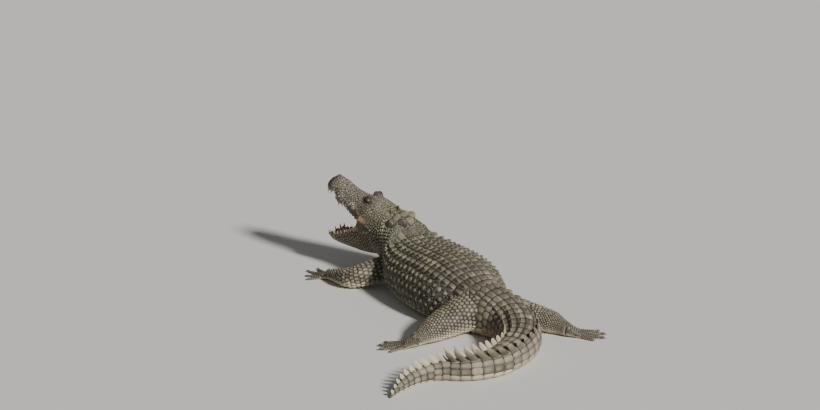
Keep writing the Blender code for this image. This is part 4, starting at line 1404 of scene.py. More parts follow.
class Scale(Enum):
    """The kinds of scale, by where they grow."""

    NUCHAL = ScaleKind(32, (1.0, 0.93, 0.76, 0.55, 0.32), 0.014, 3.6, 0.024, 0.13, 0.14, slant=0.30)
    DORSAL = ScaleKind(28, (1.0, 0.94, 0.76, 0.52, 0.28), 0.0052, 3.4, 0.0175, 0.080, 0.34, 0.0012, 12.0,
                       seams=(0.06, 0.30), sink=0.0012)
    RIDGE = ScaleKind(24, (1.0, 0.94, 0.74, 0.50, 0.25), 0.0044, 3.2, 0.0150, 0.10, 0.26, 0.0010, 14.0,
                      seams=(0.06, 0.32), sink=0.0010)
    POST = ScaleKind(20, (1.0, 0.90, 0.66, 0.34), 0.007, 2.4, 0.008, 0.20, 0.10, corner=5.0)
    FLANK = ScaleKind(16, (1.0, 0.93, 0.62, 0.30), 0.0048, 2.2, 0.0030, 0.3, 0.16, 0.0034, 5.0, 1.0, 0.80)
    GRAIN = ScaleKind(9, (1.0, 0.66), 0.0026, 2.0, groove=0.0016, corner=5.0)
    BELLY = ScaleKind(14, (1.0, 0.90), 0.0020, 5.0, groove=0.0016, corner=14.0, seams=(0.15, 0.25))
    WHORL = ScaleKind(16, (1.0, 0.92, 0.60), 0.0028, 4.0, 0.0014, 0.3, 0.10, 0.0, 14.0, 1.7,
                      seams=(0.02, 0.46), sink=0.0)
    LEG = ScaleKind(14, (1.0, 0.92, 0.52), 0.0040, 2.2, 0.0012, 0.3, 0.20, 0.0012, 8.0, 1.15, 1.0,
                    sink=0.0014)
    DIGIT = ScaleKind(12, (1.0, 0.82, 0.45), 0.0020, 2.6, groove=0.0012, corner=8.0)
    JOWL = ScaleKind(14, (1.0, 0.91, 0.52), 0.0062, 2.2, groove=0.0010, corner=6.0, sink=0.0014)
    CROWN = ScaleKind(16, (1.0, 0.88, 0.60, 0.3), 0.0034, 3.0, 0.0030, 0.25, 0.1, 0.0020, 8.0)
    HEAD = ScaleKind(14, (1.0, 0.84, 0.50), 0.0009, 4.0, groove=0.0006, seams=(0.26, 0.26), sink=0.0005)
    LABIAL = ScaleKind(14, (1.0, 0.86, 0.50), 0.0020, 3.0, groove=0.0012, corner=8.0, seams=(0.14, 0.14),
                       sink=0.0012)


@dataclass
class Seeds:
    """Where scales grow: one row for each, with its direction, size, kind and place on the unwrap."""

    places: Array
    normals: Array
    ahead: Array
    sizes: Array
    tones: Array
    unwrap: Array
    kind: Scale
    rowed = ("places", "normals", "ahead", "sizes", "tones", "unwrap")

    @staticmethod
    def from_chart(
        chart: Chart, rows: Array, shares: Array, sizes: Array, kind: Scale, seed: int, jitter: float = 0.0,
        shade: float = 0.0,
    ) -> "Seeds":
        """Reads seeds off a chart.

        Args:
            chart: the surface.
            rows: places along it.
            shares: shares of the way round it.
            sizes: half the distance between neighbours.
            kind: the kind of scale.
            seed: the random generator's seed.
            jitter: how far a seed strays, as a share of its size.
            shade: lighter above nought, darker below.

        Returns:
            The seeds.
        """
        dice = np.random.default_rng(seed)
        rows, shares, sizes = (np.array(v, float).ravel() for v in np.broadcast_arrays(rows, shares, sizes))
        if jitter:
            rows = rows + dice.normal(size=rows.shape) * sizes * jitter
            shares = shares + dice.normal(size=rows.shape) * sizes * jitter / chart.girth_at(rows)
        places, normals, ahead = chart.read(rows, shares)
        span = chart.places[-1] - chart.places[0]
        unwrap = np.column_stack([(rows - chart.places[0]) / span, shares])
        tones = 0.5 + shade + 0.16 * dice.normal(size=len(rows)) + 0.15 * ripple(places, 0.3, seed)
        tones = np.clip(tones, 0, 1)
        return Seeds(places, normals, ahead, sizes, tones, unwrap, kind)

    @staticmethod
    def joined(groups: Sequence["Seeds"]) -> "Seeds":
        """All the groups' seeds as one, of the first group's kind."""
        columns = (np.concatenate([getattr(group, name) for group in groups]) for name in Seeds.rowed)
        return Seeds(*columns, groups[0].kind)

    def kept(self, chosen: Array) -> "Seeds":
        """Only the chosen seeds."""
        return Seeds(*(getattr(self, name)[chosen] for name in self.rowed), self.kind)


class Ground:
    """The skin as a surface to stand things on."""

    reach = 0.035

    def __init__(self, skin: bpy.types.Object) -> None:
        """Builds the search tree and keeps the vertices' normals."""
        points, normals = vert_arrays(skin)
        loops = [tuple(polygon.vertices) for polygon in skin.data.polygons]
        self.tree = BVHTree.FromPolygons(points.tolist(), loops)
        self.normals, self.loops = normals, loops

    def drop(self, points: Array, normals: Array) -> tuple[Array, Array, Array]:
        """Drops points on the skin against their normals.

        Args:
            points: places near the skin.
            normals: the way out of the skin at each.

        Returns:
            Where they land, the skin's normals there, and how far each had to move.
        """
        landed, faced = points.copy(), normals.copy()
        moved_by = np.full(len(points), 1.0)
        starts = points + normals * self.reach
        for k, (start, way) in enumerate(zip(starts.tolist(), (-normals).tolist())):
            hit, _, face, distance = self.tree.ray_cast(start, way, 2.5 * self.reach)
            if hit is not None:
                landed[k] = hit
                faced[k] = self.normals[list(self.loops[face])].mean(0)
                moved_by[k] = distance - self.reach
        return landed, unit(faced), moved_by


class Hide:
    """All the scales: seeds shape each other's cells, and each piece is one mesh of domed plates."""

    neighbours = 14
    stray = 0.016

    def __init__(self, ground: Ground) -> None:
        """Starts with no pieces."""
        self.ground = ground
        self.pieces: list[tuple[str, list[Seeds]]] = []

    def add(self, name: str, groups: list[Seeds]) -> None:
        """Plants groups of seeds as one piece.

        Args:
            name: the piece's name.
            groups: the seeds, one group for each kind.
        """
        planted = []
        for group in groups:
            places, normals, shift = self.ground.drop(group.places, group.normals)
            fits = (np.abs(shift) < self.stray) & (np.sum(normals * group.normals, 1) > 0.55)
            fits &= Markings.mouth(places, normals) < 0.3
            group.places = places
            group.normals = unit(group.normals + normals)
            climb = np.sum(group.ahead * group.normals, 1)[:, None]
            group.ahead = unit(group.ahead - group.normals * climb)
            planted.append(group.kept(fits))
        self.pieces.append((name, planted))

    def seeds(self) -> Seeds:
        """Every planted seed."""
        return Seeds.joined([group for _, groups in self.pieces for group in groups])

    def build(self) -> list[bpy.types.Object]:
        """Makes every piece.

        Returns:
            The pieces, in the order in which they were planted.
        """
        every = self.seeds()
        tree = search_tree(every.places)
        made = []
        for name, groups in self.pieces:
            parts = [self.plates(group, every, tree) for group in groups if len(group.places)]
            made.append(self.joined(name, parts))
        return made

    def radii(self, group: Seeds, every: Seeds, tree: KDTree, angles: Array) -> Array:
        """How far each scale reaches in each direction before it meets its neighbours.

        Args:
            group: the scales' seeds.
            every: all seeds.
            tree: all seeds in a search tree.
            angles: the directions, from the scale's own line ahead.

        Returns:
            One row of distances for each scale.
        """
        kind = group.kind.value
        count = min(self.neighbours, len(every.places))
        near = np.array([[item[1] for item in tree.find_n(place, count)] for place in group.places])
        offset = every.places[near] - group.places[:, None]
        aside = np.cross(group.normals, group.ahead)
        x = np.einsum("nkc,nc->nk", offset, group.ahead)
        y = np.einsum("nkc,nc->nk", offset, aside)
        away = np.hypot(x, y)
        share = group.sizes[:, None] / (group.sizes[:, None] + every.sizes[near])
        turned = np.einsum("nkc,nc->nk", every.normals[near], group.normals) < 0.1
        wall = np.where((away < 1e-4) | turned, 1e3, away * share - kind.groove / 2)
        bearing = np.arctan2(y, x)
        facing = np.cos(angles[None, None] - bearing[..., None])
        inverse = np.maximum(facing, 0) / np.maximum(wall[..., None], 1e-4)
        reach = 1.32 * group.sizes[:, None]
        own = np.hypot(np.cos(angles) / kind.length, np.sin(angles) / kind.width)[None] / reach
        total = np.sum(inverse**kind.corner, 1) + own**kind.corner
        return total ** (-1 / kind.corner)

    def plates(self, group: Seeds, every: Seeds, tree: KDTree) -> dict[str, Array]:
        """Makes the plates of one group.

        Args:
            group: the scales' seeds.
            every: all seeds.
            tree: all seeds in a search tree.

        Returns:
            Vertices, faces and stored numbers.
        """
        kind = group.kind.value
        count, sides = len(group.places), kind.sides
        angles = circle(sides)
        radii = self.radii(group, every, tree, angles)
        shares = np.array([share for share in kind.rings for _ in range(sides)] + [0.0])
        turn = np.tile(angles, len(kind.rings))
        reach = np.concatenate([np.tile(radii, (1, len(kind.rings))), np.zeros((count, 1))], 1) * shares
        x = reach * np.cos(np.append(turn, 0.0))
        y = reach * np.sin(np.append(turn, 0.0))
        aside = np.cross(group.normals, group.ahead)
        flat = group.places[:, None] + group.ahead[:, None] * x[..., None] + aside[:, None] * y[..., None]
        ways = np.repeat(group.normals, len(shares), 0)
        landed, _, shift = self.ground.drop(flat.reshape(-1, 3), ways)
        limit = 0.9 * np.repeat(group.sizes, len(shares))
        landed = np.where((np.abs(shift) < limit)[:, None], landed, flat.reshape(-1, 3) - ways * 0.002)
        rise = self.rise(kind, shares, x, y, group)
        points = landed + ways * rise.reshape(-1, 1)
        points[:, 2] = np.maximum(points[:, 2], FLOOR_CLEARANCE * 0.4)
        top = rise / np.maximum(rise.max(1, keepdims=True), 1e-6)
        # The rims and lower slopes take low relief, which the hide paints dark as shade.
        ends, sides_seam = kind.seams
        rim = ends * np.cos(turn) ** 2 + sides_seam * np.sin(turn) ** 2
        relief = np.where(shares >= 1.0, np.append(rim, 1.0), 0.35 + 0.65 * top)
        scale_markings = np.repeat(np.arange(count), len(shares))
        unwrap = group.unwrap[:, None] + np.stack([x, y], 2) * 0.35
        return {
            "verts": points, "faces": self.plate_faces(count, sides, len(kind.rings)),
            "relief": np.clip(relief, 0, 1).ravel(), "tone": group.tones[scale_markings],
            "seed": group.places[scale_markings], "facing": group.normals[scale_markings],
            "unwrap": unwrap.reshape(-1, 2),
        }

    @staticmethod
    def rise(kind: ScaleKind, shares: Array, x: Array, y: Array, group: Seeds) -> Array:
        """How high each vertex of each plate stands over the skin."""
        size = group.sizes[:, None]
        dome = kind.height * (1 - shares[None] ** kind.crown)
        slope = 1 + kind.tilt * x / size * 2.4
        ridge = np.exp(-np.abs(y / (kind.keel_width * size * 2)) ** 1.5) * (1 - shares[None] ** 4)
        keel = kind.keel * ridge * np.clip(0.66 + kind.slant * x / size, 0.10, 1.2)
        scaled = np.minimum(size / 0.012, 1.0)
        edge = np.where(shares >= 1.0, -kind.sink, 0.0)[None]
        return (dome * slope + keel) * scaled + edge

    @staticmethod
    def plate_faces(count: int, sides: int, rings: int) -> Array:
        """The faces of the plates as rows of four vertex numbers, the last repeated in a triangle."""
        around = np.arange(sides)
        after = (around + 1) % sides
        rows = [
            k * sides + np.stack([around, after, sides + after, sides + around], 1)
            for k in range(rings - 1)
        ]
        last, centre = (rings - 1) * sides, rings * sides
        middle = np.full(sides, centre)
        rows.append(np.stack([last + around, last + after, middle, middle], 1))
        one = np.concatenate(rows)
        return (one[None] + (np.arange(count) * (centre + 1))[:, None, None]).reshape(-1, 4)

    @staticmethod
    def joined(name: str, parts: list[dict[str, Array]]) -> bpy.types.Object:
        """Joins groups of plates in one mesh with its markings and unwrap."""
        offsets = np.cumsum([0] + [len(part["verts"]) for part in parts[:-1]])
        verts = np.concatenate([part["verts"] for part in parts])
        faces = np.concatenate([part["faces"] + offset for part, offset in zip(parts, offsets)])
        loops = [row[:3] if row[2] == row[3] else row for row in faces.tolist()]
        made = mesh_object(name, verts, loops, HIDE)
        for key in ("relief", "tone"):
            put_numbers(made, **{key: np.concatenate([part[key] for part in parts])})
        seed, facing = (np.concatenate([part[key] for part in parts]) for key in ("seed", "facing"))
        put_markings(made, seed, facing)
        put_numbers(made, bare=np.zeros(len(verts)))
        put_unwrap(made, np.concatenate([part["unwrap"] for part in parts]))
        log.info("%s: %d faces", name, len(made.data.polygons))
        return made


@dataclass
class ScalePlan:
    """Where each region's scales grow."""

    # Each row of the nape: its station, the arcs out to its shields, half their spacing and their kind
    nape: tuple = (
        (-0.112, (0.037,), 0.037, Scale.NUCHAL), (-0.056, (0.037, 0.106), 0.036, Scale.NUCHAL),
        (-0.004, (0.034,), 0.030, Scale.NUCHAL), (-0.178, (0.034, 0.094), 0.019, Scale.POST),
        (-0.150, (0.064,), 0.014, Scale.POST),
    )

    def plant(self, hide: Hide) -> None:
        """Plants every region."""
        self.body(hide)
        self.head(hide)
        for name, limb in LIMBS.items():
            self.leg(hide, name, limb)

    @staticmethod
    def grid(
        chart: Chart, rows: Array, arcs: Array, size: float, kind: Scale, seed: int, jitter: float = 0.0
    ) -> Seeds:
        """Seeds at arc distances from the middle of the back, on each of some rows.

        Args:
            chart: the body's surface.
            rows: stations.
            arcs: distances from the ridge of the back, towards the animal's left, one for each column.
            size: half the distance between neighbours.
            kind: the kind of scale.
            seed: the random generator's seed.
            jitter: how far seeds stray.

        Returns:
            The seeds.
        """
        rows, arcs = np.meshgrid(rows, arcs, indexing="ij")
        shares = 0.5 + arcs / chart.girth_at(rows)
        sizes = np.broadcast_to(size, rows.shape)
        inside = (shares > 0.004) & (shares < 0.996)
        return Seeds.from_chart(chart, rows[inside], shares[inside], sizes[inside], kind, seed, jitter)

    def body(self, hide: Hide) -> None:
        """Plants neck, trunk and tail."""
        chart = BodyForm().chart()
        nape = [
            self.grid(
                chart, np.array([row]), np.array([*(-arc for arc in arcs[::-1]), *arcs]), size, kind, seed
            )
            for seed, (row, arcs, size, kind) in enumerate(self.nape, 1)
        ]
        hide.add("scales_nuchal", nape)
        rows = np.arange(0.048, 0.97, 0.056)
        hide.add("scutes_back", [self.back_row(chart, row, k) for k, row in enumerate(rows)])
        left, right = (self.flank(chart, side) for side in (1, -1))
        hide.add("scales_flank_left", left)
        hide.add("scales_flank_right", right)
        hide.add("scales_belly", [self.belly(chart)])
        hide.add("scales_neck", [self.beside(group, nape) for group in self.neck(chart)])
        for number, (start, end) in enumerate(((0.955, 1.45), (1.45, 2.0), (2.0, 2.62))):
            hide.add(f"scutes_tail_{number + 1}", self.tail(chart, start, end))

    @staticmethod
    def back_width(station: float) -> float:
        """The width of one scute of the back at a station."""
        return float(profile(((0.0, 0.050), (0.20, 0.060), (0.60, 0.062), (0.96, 0.050)), station))

    @staticmethod
    def back_edge(station: float) -> float:
        """The arc from the ridge of the back to the outer edge of its scutes."""
        return 4.0 * ScalePlan.back_width(station) + 0.026

    @staticmethod
    def nape_reach(station: float) -> float:
        """The arc from the ridge to the edge of the ground that the nape's shields take."""
        return np.interp(station, (-0.20, -0.13, -0.08, -0.02, 0.03), (0.03, 0.07, 0.135, 0.10, 0.24))

    def back_row(self, chart: Chart, row: float, number: int) -> Seeds:
        """One transverse row of the back."""
        width = self.back_width(row)
        arcs = (np.arange(8) - 3.5) * width
        return self.grid(chart, np.array([row]), arcs, 0.0285, Scale.DORSAL, 20 + number, 0.035)

    def flank(self, chart: Chart, side: int) -> list[Seeds]:
        """Oval scales in rows down one flank, with small ones between them."""
        groups = []
        for number, row in enumerate(np.arange(0.02, 0.98, 0.050)):
            arcs = self.back_edge(row) + np.arange(0, 0.40, 0.047)
            arcs = arcs[arcs < float(chart.girth_at(row)) * 0.40]
            shift = 0.025 * (np.arange(len(arcs)) % 2)
            dice = np.random.default_rng(300 + number + 50 * side)
            sizes = np.interp(arcs, (0.25, 0.55), (0.0235, 0.0185)) * dice.uniform(0.84, 1.06, len(arcs))
            # Painted shade: the small scales between the flank's ovals are made darker, as if the flank lay
            # in shade.
            for along, across, size, kind, seed, jitter, shade in (
                (0.0, 0.0, sizes, Scale.FLANK, 60, 0.16, 0.0),
                (0.0, 0.0235, GRAIN_SIZE, Scale.GRAIN, 90, 0.45, -0.22),
                (0.025, 0.0, GRAIN_SIZE, Scale.GRAIN, 120, 0.5, -0.22),
            ):
                at = row + shift + along
                shares = 0.5 + side * (arcs + across) / chart.girth_at(at)
                groups.append(Seeds.from_chart(chart, at, shares, size, kind, seed + number, jitter, shade))
        return groups

    @staticmethod
    def belly(chart: Chart) -> Seeds:
        """Smooth plates in even rows across the belly and up to the flanks."""
        rows = np.arange(-0.03, 0.97, 0.037)
        groups = []
        for number, row in enumerate(rows):
            girth = float(chart.girth_at(row))
            start = 0.5 - ScalePlan.back_edge(row) / girth
            reach = min(0.115, start) * girth
            arcs = np.arange(0.013, reach, 0.027)
            for low in (arcs / girth, 1 - arcs / girth):
                groups.append(Seeds.from_chart(chart, row, low, 0.0165, Scale.BELLY, 150 + number, 0.06))
        return Seeds.joined(groups)

    @staticmethod
    def beside(group: Seeds, plates: list[Seeds]) -> Seeds:
        """The seeds of a group that leave room for larger plates."""
        clear = np.ones(len(group.places), bool)
        for plate in plates:
            for place, size in zip(plate.places, plate.sizes):
                clear &= np.linalg.norm(group.places - place, axis=1) > 1.04 * size + 0.35 * group.sizes
        return group.kept(clear)

    @staticmethod
    def neck(chart: Chart) -> list[Seeds]:
        """Pebbled scales round the neck and throat."""
        groups = []
        for number, row in enumerate(np.arange(-0.205, 0.03, 0.021)):
            girth = float(chart.girth_at(row))
            arcs = np.arange(-0.5 * girth, 0.5 * girth, 0.0225) + 0.011 * (number % 2)
            clear = np.abs(arcs) > ScalePlan.nape_reach(row)
            shares = 0.5 + arcs[clear] / girth
            dice = np.random.default_rng(400 + number)
            sizes = 0.0118 * dice.uniform(0.82, 1.15, int(clear.sum()))
            groups.append(Seeds.from_chart(chart, row, shares, sizes, Scale.JOWL, 200 + number, 0.14))
        for number, row in enumerate(np.arange(-0.195, 0.03, 0.021)):
            girth = float(chart.girth_at(row))
            reach = ScalePlan.nape_reach(row)
            arcs = np.arange(-reach, reach, 0.018)
            shares = 0.5 + arcs / girth
            groups.append(Seeds.from_chart(chart, row, shares, GRAIN_SIZE, Scale.GRAIN, 250 + number, 0.25))
        return groups

    @staticmethod
    def tail(chart: Chart, start: float, end: float) -> list[Seeds]:
        """Whorls of oblong scutes, keeled on top between the two crests while the tail is broad."""
        keeled, plain, station, number = [], [], start, 0
        while station < end - 0.01:
            length = float(profile(WHORL, station))
            middle, girth = station + length / 2, float(chart.girth_at(station + length / 2))
            spread = float(profile(CREST_SPREAD, middle)) * 1.06
            inner = 2 * round(spread / 0.052) if middle < CREST_MERGE else 0
            if inner:
                arcs = (np.arange(inner + 1) / inner - 0.5) * 2 * spread
                kind = Scale.RIDGE if middle < 1.62 else Scale.WHORL
                shares, row = 0.5 + arcs / girth, keeled if kind is Scale.RIDGE else plain
                row.append(Seeds.from_chart(chart, middle, shares, length * 0.52, kind, 500 + number, 0.03))
            edge = spread if inner else 0.012
            room = girth / 2 - edge
            columns = max(round(room / (length * 0.80)), 3)
            arcs = edge + (np.arange(columns) + 0.62) * room / (columns + 0.3)
            for side in (-1, 1):
                plain.append(Seeds.from_chart(
                    chart, middle, 0.5 + side * arcs / girth, min(length * 0.50, 0.95 * room / columns),
                    Scale.WHORL, 600 + number, 0.03,
                ))
            station, number = station + length, number + 1
        return [Seeds.joined(groups) for groups in (keeled, plain) if groups]

    @staticmethod
    def head(hide: Hide) -> None:
        """Plants the flat plates of the skull, the scales along the lips and the jowl's nodules."""
        upper, lower, jowl = HEAD.upper_chart(), HEAD.lower_chart(), HEAD.jowl_chart()
        groups, labials = [], []
        for number, reach in enumerate(np.arange(0.0, 0.50, 0.0145)):
            girth = float(upper.girth_at(reach))
            arcs = np.arange(0.032, girth - 0.031, 0.0165) + 0.008 * (number % 2)
            dice = np.random.default_rng(700 + number)
            sizes = 0.0080 * dice.uniform(0.6, 1.45, len(arcs))
            shares = arcs / girth
            groups.append(Seeds.from_chart(upper, reach, shares, sizes, Scale.HEAD, 710 + number, 0.42))
            for arc in (0.010, girth - 0.010):
                labials.append(
                    Seeds.from_chart(upper, reach, arc / girth, 0.0098, Scale.LABIAL, 760 + number, 0.05)
                )
        hide.add("scales_skull", groups)
        rim = []
        places = ((0.30, 0.0), (0.38, -0.004), (0.46, -0.006), (0.54, -0.006), (0.62, -0.004), (0.70, 0.0))
        for share, reach in places:
            rim.append(Seeds.from_chart(upper, reach, share, 0.013, Scale.CROWN, 740, 0.05))
        hide.add("scales_crown", rim)
        hide.add("scales_lip", labials)
        groups = []
        for number, reach in enumerate(np.arange(0.01, 0.49, 0.019)):
            girth = float(lower.girth_at(reach))
            arcs = np.arange(0.010, girth - 0.008, 0.021) + 0.009 * (number % 2)
            shares, kind = arcs / girth, Scale.LABIAL
            # Painted shade: the lower jaw's scales are made darker, as if in shade.
            groups.append(Seeds.from_chart(lower, reach, shares, 0.0104, kind, 800 + number, 0.22, -0.10))
        hide.add("scales_jaw", groups)
        groups = []
        for number, reach in enumerate(np.arange(-0.085, 0.125, 0.0210)):
            girth = float(jowl.girth_at(reach))
            arcs = np.arange(0.0, girth, 0.0235) + 0.011 * (number % 2)
            dice = np.random.default_rng(850 + number)
            sizes = 0.0116 * dice.uniform(0.72, 1.25, len(arcs))
            shares, kind = arcs / girth, Scale.JOWL
            # Painted light: the jowl's nodules are made lighter, as if lit.
            groups.append(Seeds.from_chart(jowl, reach, shares, sizes, kind, 860 + number, 0.16, 0.14))
        hide.add("scales_jowl", groups)

    def leg(self, hide: Hide, name: str, limb: LimbForm) -> None:
        """Plants one leg's scales and the narrow plates along its digits."""
        chart = limb.chart()
        count = 24 if name.startswith("foot") else 17
        groups, place, number = [], 0.10 * chart.places[-1], 0
        while place < chart.places[-1] - 0.004:
            girth = float(chart.girth_at(place))
            width = girth / count
            shares = (np.arange(count) + 0.5 * (number % 2)) / count
            dice = np.random.default_rng(900 + number)
            sizes = width * 0.54 * dice.uniform(0.88, 1.12, count)
            groups.append(Seeds.from_chart(chart, place, shares, sizes, Scale.LEG, 910 + number, 0.10))
            place, number = place + width * 0.92, number + 1
        start, line, length = limb.foot_frame()
        ahead = np.array([math.cos(line), math.sin(line), 0.0])
        across = np.array([-math.sin(line), math.cos(line), 0.0])
        dice = np.random.default_rng(990)
        palm = []
        for row, step in enumerate(np.arange(-0.02, 0.34 * length, 0.0135)):
            for column in np.arange(-limb.palm[0], limb.palm[0] + 0.001, 0.0142):
                place = start + ahead * step + across * (column + 0.007 * (row % 2))
                place[2] = start[2] * (1 - step / (0.42 * length)) + limb.palm[1] * 0.8
                palm.append(place)
        palm = np.array(palm) + dice.normal(size=(len(palm), 3)) * 0.0012
        up = np.tile(unit(np.array([0, 0, 1.0]) + 0.35 * ahead), (len(palm), 1))
        groups.append(self.beside(Seeds(
            palm, up, np.tile(ahead, (len(palm), 1)), np.full(len(palm), 0.0074),
            np.clip(0.5 + 0.15 * dice.normal(size=len(palm)), 0, 1),
            0.1 + 0.5 * np.column_stack([(palm - start) @ ahead, (palm - start) @ across]), Scale.DIGIT,
        ), groups[-6:]))
        for order, digit in enumerate(limb.digits):
            steps = np.arange(0.12, 0.93, 0.0115 / (length * digit[1]))
            middles, sizes = limb.digit_line(digit, steps)
            along = unit(middles[-1] - middles[0])
            aside = unit(np.array([along[1], -along[0], 0.0]))
            for lean in (-52, 0, 52):
                tilt = math.radians(lean)
                way = math.cos(tilt) * np.array([0, 0, 1.0]) + math.sin(tilt) * aside
                places = middles + way * sizes[:, None]
                span = 0.0072 if lean == 0 else 0.0064
                column = np.full(len(steps), 0.7 + 0.05 * order + lean * 0.0003)
                groups.append(Seeds(
                    places, np.tile(way, (len(places), 1)), np.tile(along, (len(places), 1)),
                    np.full(len(places), span), np.clip(0.5 + 0.12 * dice.normal(size=len(places)), 0, 1),
                    np.column_stack([0.1 + 0.8 * steps, column]), Scale.DIGIT,
                ))
        hide.add(f"scales_{name}", groups)


# ---- the crest ----


@dataclass
class Crest:
    """The raked lobes that stand in two rows along the tail and in one beyond where they meet."""

    columns: int = 9
    rows: int = 9

    def whorls(self) -> list[tuple[float, float]]:
        """Stations and lengths of the lobes' rows, as in the part."""
        station, whorls = CREST_START, []
        while station < TAIL_END - 0.03:
            length = float(profile(WHORL, station))
            whorls.append((station, length))
            station += (length + float(profile(WHORL, station + length))) / 2
        return whorls

    @staticmethod
    def foot_height(station: float, across: float) -> float:
        """Height of the body's back at a distance across."""
        half, top, widest = (float(profile(k, station)) for k in (HALF_WIDTH, TOP, WIDEST))
        share = min(abs(across) / half, 0.9)
        return widest + (top - widest) * (1 - share**SQUARE_BACK) ** (1 / SQUARE_BACK)

    def lobe(self, station: float, length: float, side: int, dice: np.random.Generator) -> dict[str, Array]:
        """One lobe as a lens-shaped blade, thick at its foot and thin at its raked, rounded top."""
        height = float(profile(CREST_HEIGHT, station)) * dice.uniform(0.90, 1.04)
        spread = float(profile(CREST_SPREAD, station)) * abs(side)
        foot = self.foot_height(station, spread) - COAT_DEPTH
        lean = dice.normal() * 0.05
        levels = np.linspace(0, 1, self.rows)
        points, relief = [], []
        for level in levels:
            rise = -0.010 + (height + 0.010) * level
            front = -0.42 + 0.34 * level**2.4
            back = 0.34 + 0.08 * math.sin(math.pi * min(level, 0.8)) - 0.20 * max(level - 0.65, 0) / 0.35
            width = (0.0105 + 0.11 * height) * (1 - 0.78 * level**1.1) + 0.0014
            for face in (-1, 1):
                for column in np.linspace(0, 1, self.columns):
                    along = (front + (back - front) * column) * length + CREST_RAKE * max(rise, 0.0)
                    x, y, turn = (float(v) for v in SPINE.at(station + along))
                    lens = (4 * column * (1 - column)) ** 0.55
                    grooves = 0.0007 * math.sin(9 * math.pi * column) * min(level * 3, 1)
                    out = side * spread + face * (lens * width / 2 + grooves) + lean * rise
                    points.append((x + out * math.sin(turn), y - out * math.cos(turn), foot + rise))
                    # The lobes' feet take low relief, which the hide paints dark as shade.
                    relief.append(0.30 + 0.70 * level**0.7)
        return {"points": np.array(points), "relief": np.array(relief)}

    def build(self) -> bpy.types.Object:
        """Makes all lobes as one mesh.

        Returns:
            The crest.
        """
        dice = np.random.default_rng(41)
        rows, columns = self.rows, self.columns
        ring = 2 * columns
        verts, faces, relief, tone, painted_highlight, unwrap, offset = [], [], [], [], [], [], 0
        for station, length in self.whorls():
            for side in (-1, 1) if station < CREST_MERGE else (0,):
                lobe = self.lobe(station, length, side, dice)
                verts.append(lobe["points"])
                relief.append(lobe["relief"])
                wear_and_painted_light = 0.34 if side < 0 else 0.78
                # Painted light and shade: the left row and the single row beyond are painted pale as if
                # lit, and the right row dark as if in shade.
                tone.append(np.full(ring * rows, np.clip(wear_and_painted_light + 0.10 * dice.normal(), 0, 1)))
                painted_highlight.append(np.full(ring * rows, 0.0 if side < 0 else ease(1.42, 1.75, station) * 0.72))
                for row in range(rows - 1):
                    here, there = offset + row * ring, offset + (row + 1) * ring
                    loop = [*range(columns), *range(ring - 1, columns - 1, -1)]
                    for a, b in zip(loop, loop[1:] + loop[:1]):
                        faces.append((here + a, here + b, there + b, there + a))
                top = offset + (rows - 1) * ring
                for k in range(columns - 1):
                    faces.append((top + k, top + k + 1, top + columns + k + 1, top + columns + k))
                u = (station - TRUNK_LENGTH) / TAIL_LENGTH
                across, upward = np.linspace(0, 1, columns), np.linspace(0, 1, rows)
                local = np.column_stack([np.tile(across, 2 * rows), np.repeat(upward, ring)])
                unwrap.append(np.array([u, 0.5 + 0.2 * side]) + (local - 0.5) * 0.02)
                offset += ring * rows
        points = np.concatenate(verts)
        made = mesh_object("crest", points, faces, HIDE)
        turn_out(made)
        put_numbers(
            made, relief=np.concatenate(relief), tone=np.concatenate(tone), bare=np.zeros(len(points))
        )
        put_markings(made, points, np.tile((0.0, 0.0, 1.0), (len(points), 1)), np.concatenate(painted_highlight))
        put_unwrap(made, np.concatenate(unwrap))
        return made


# ---- eyes ----


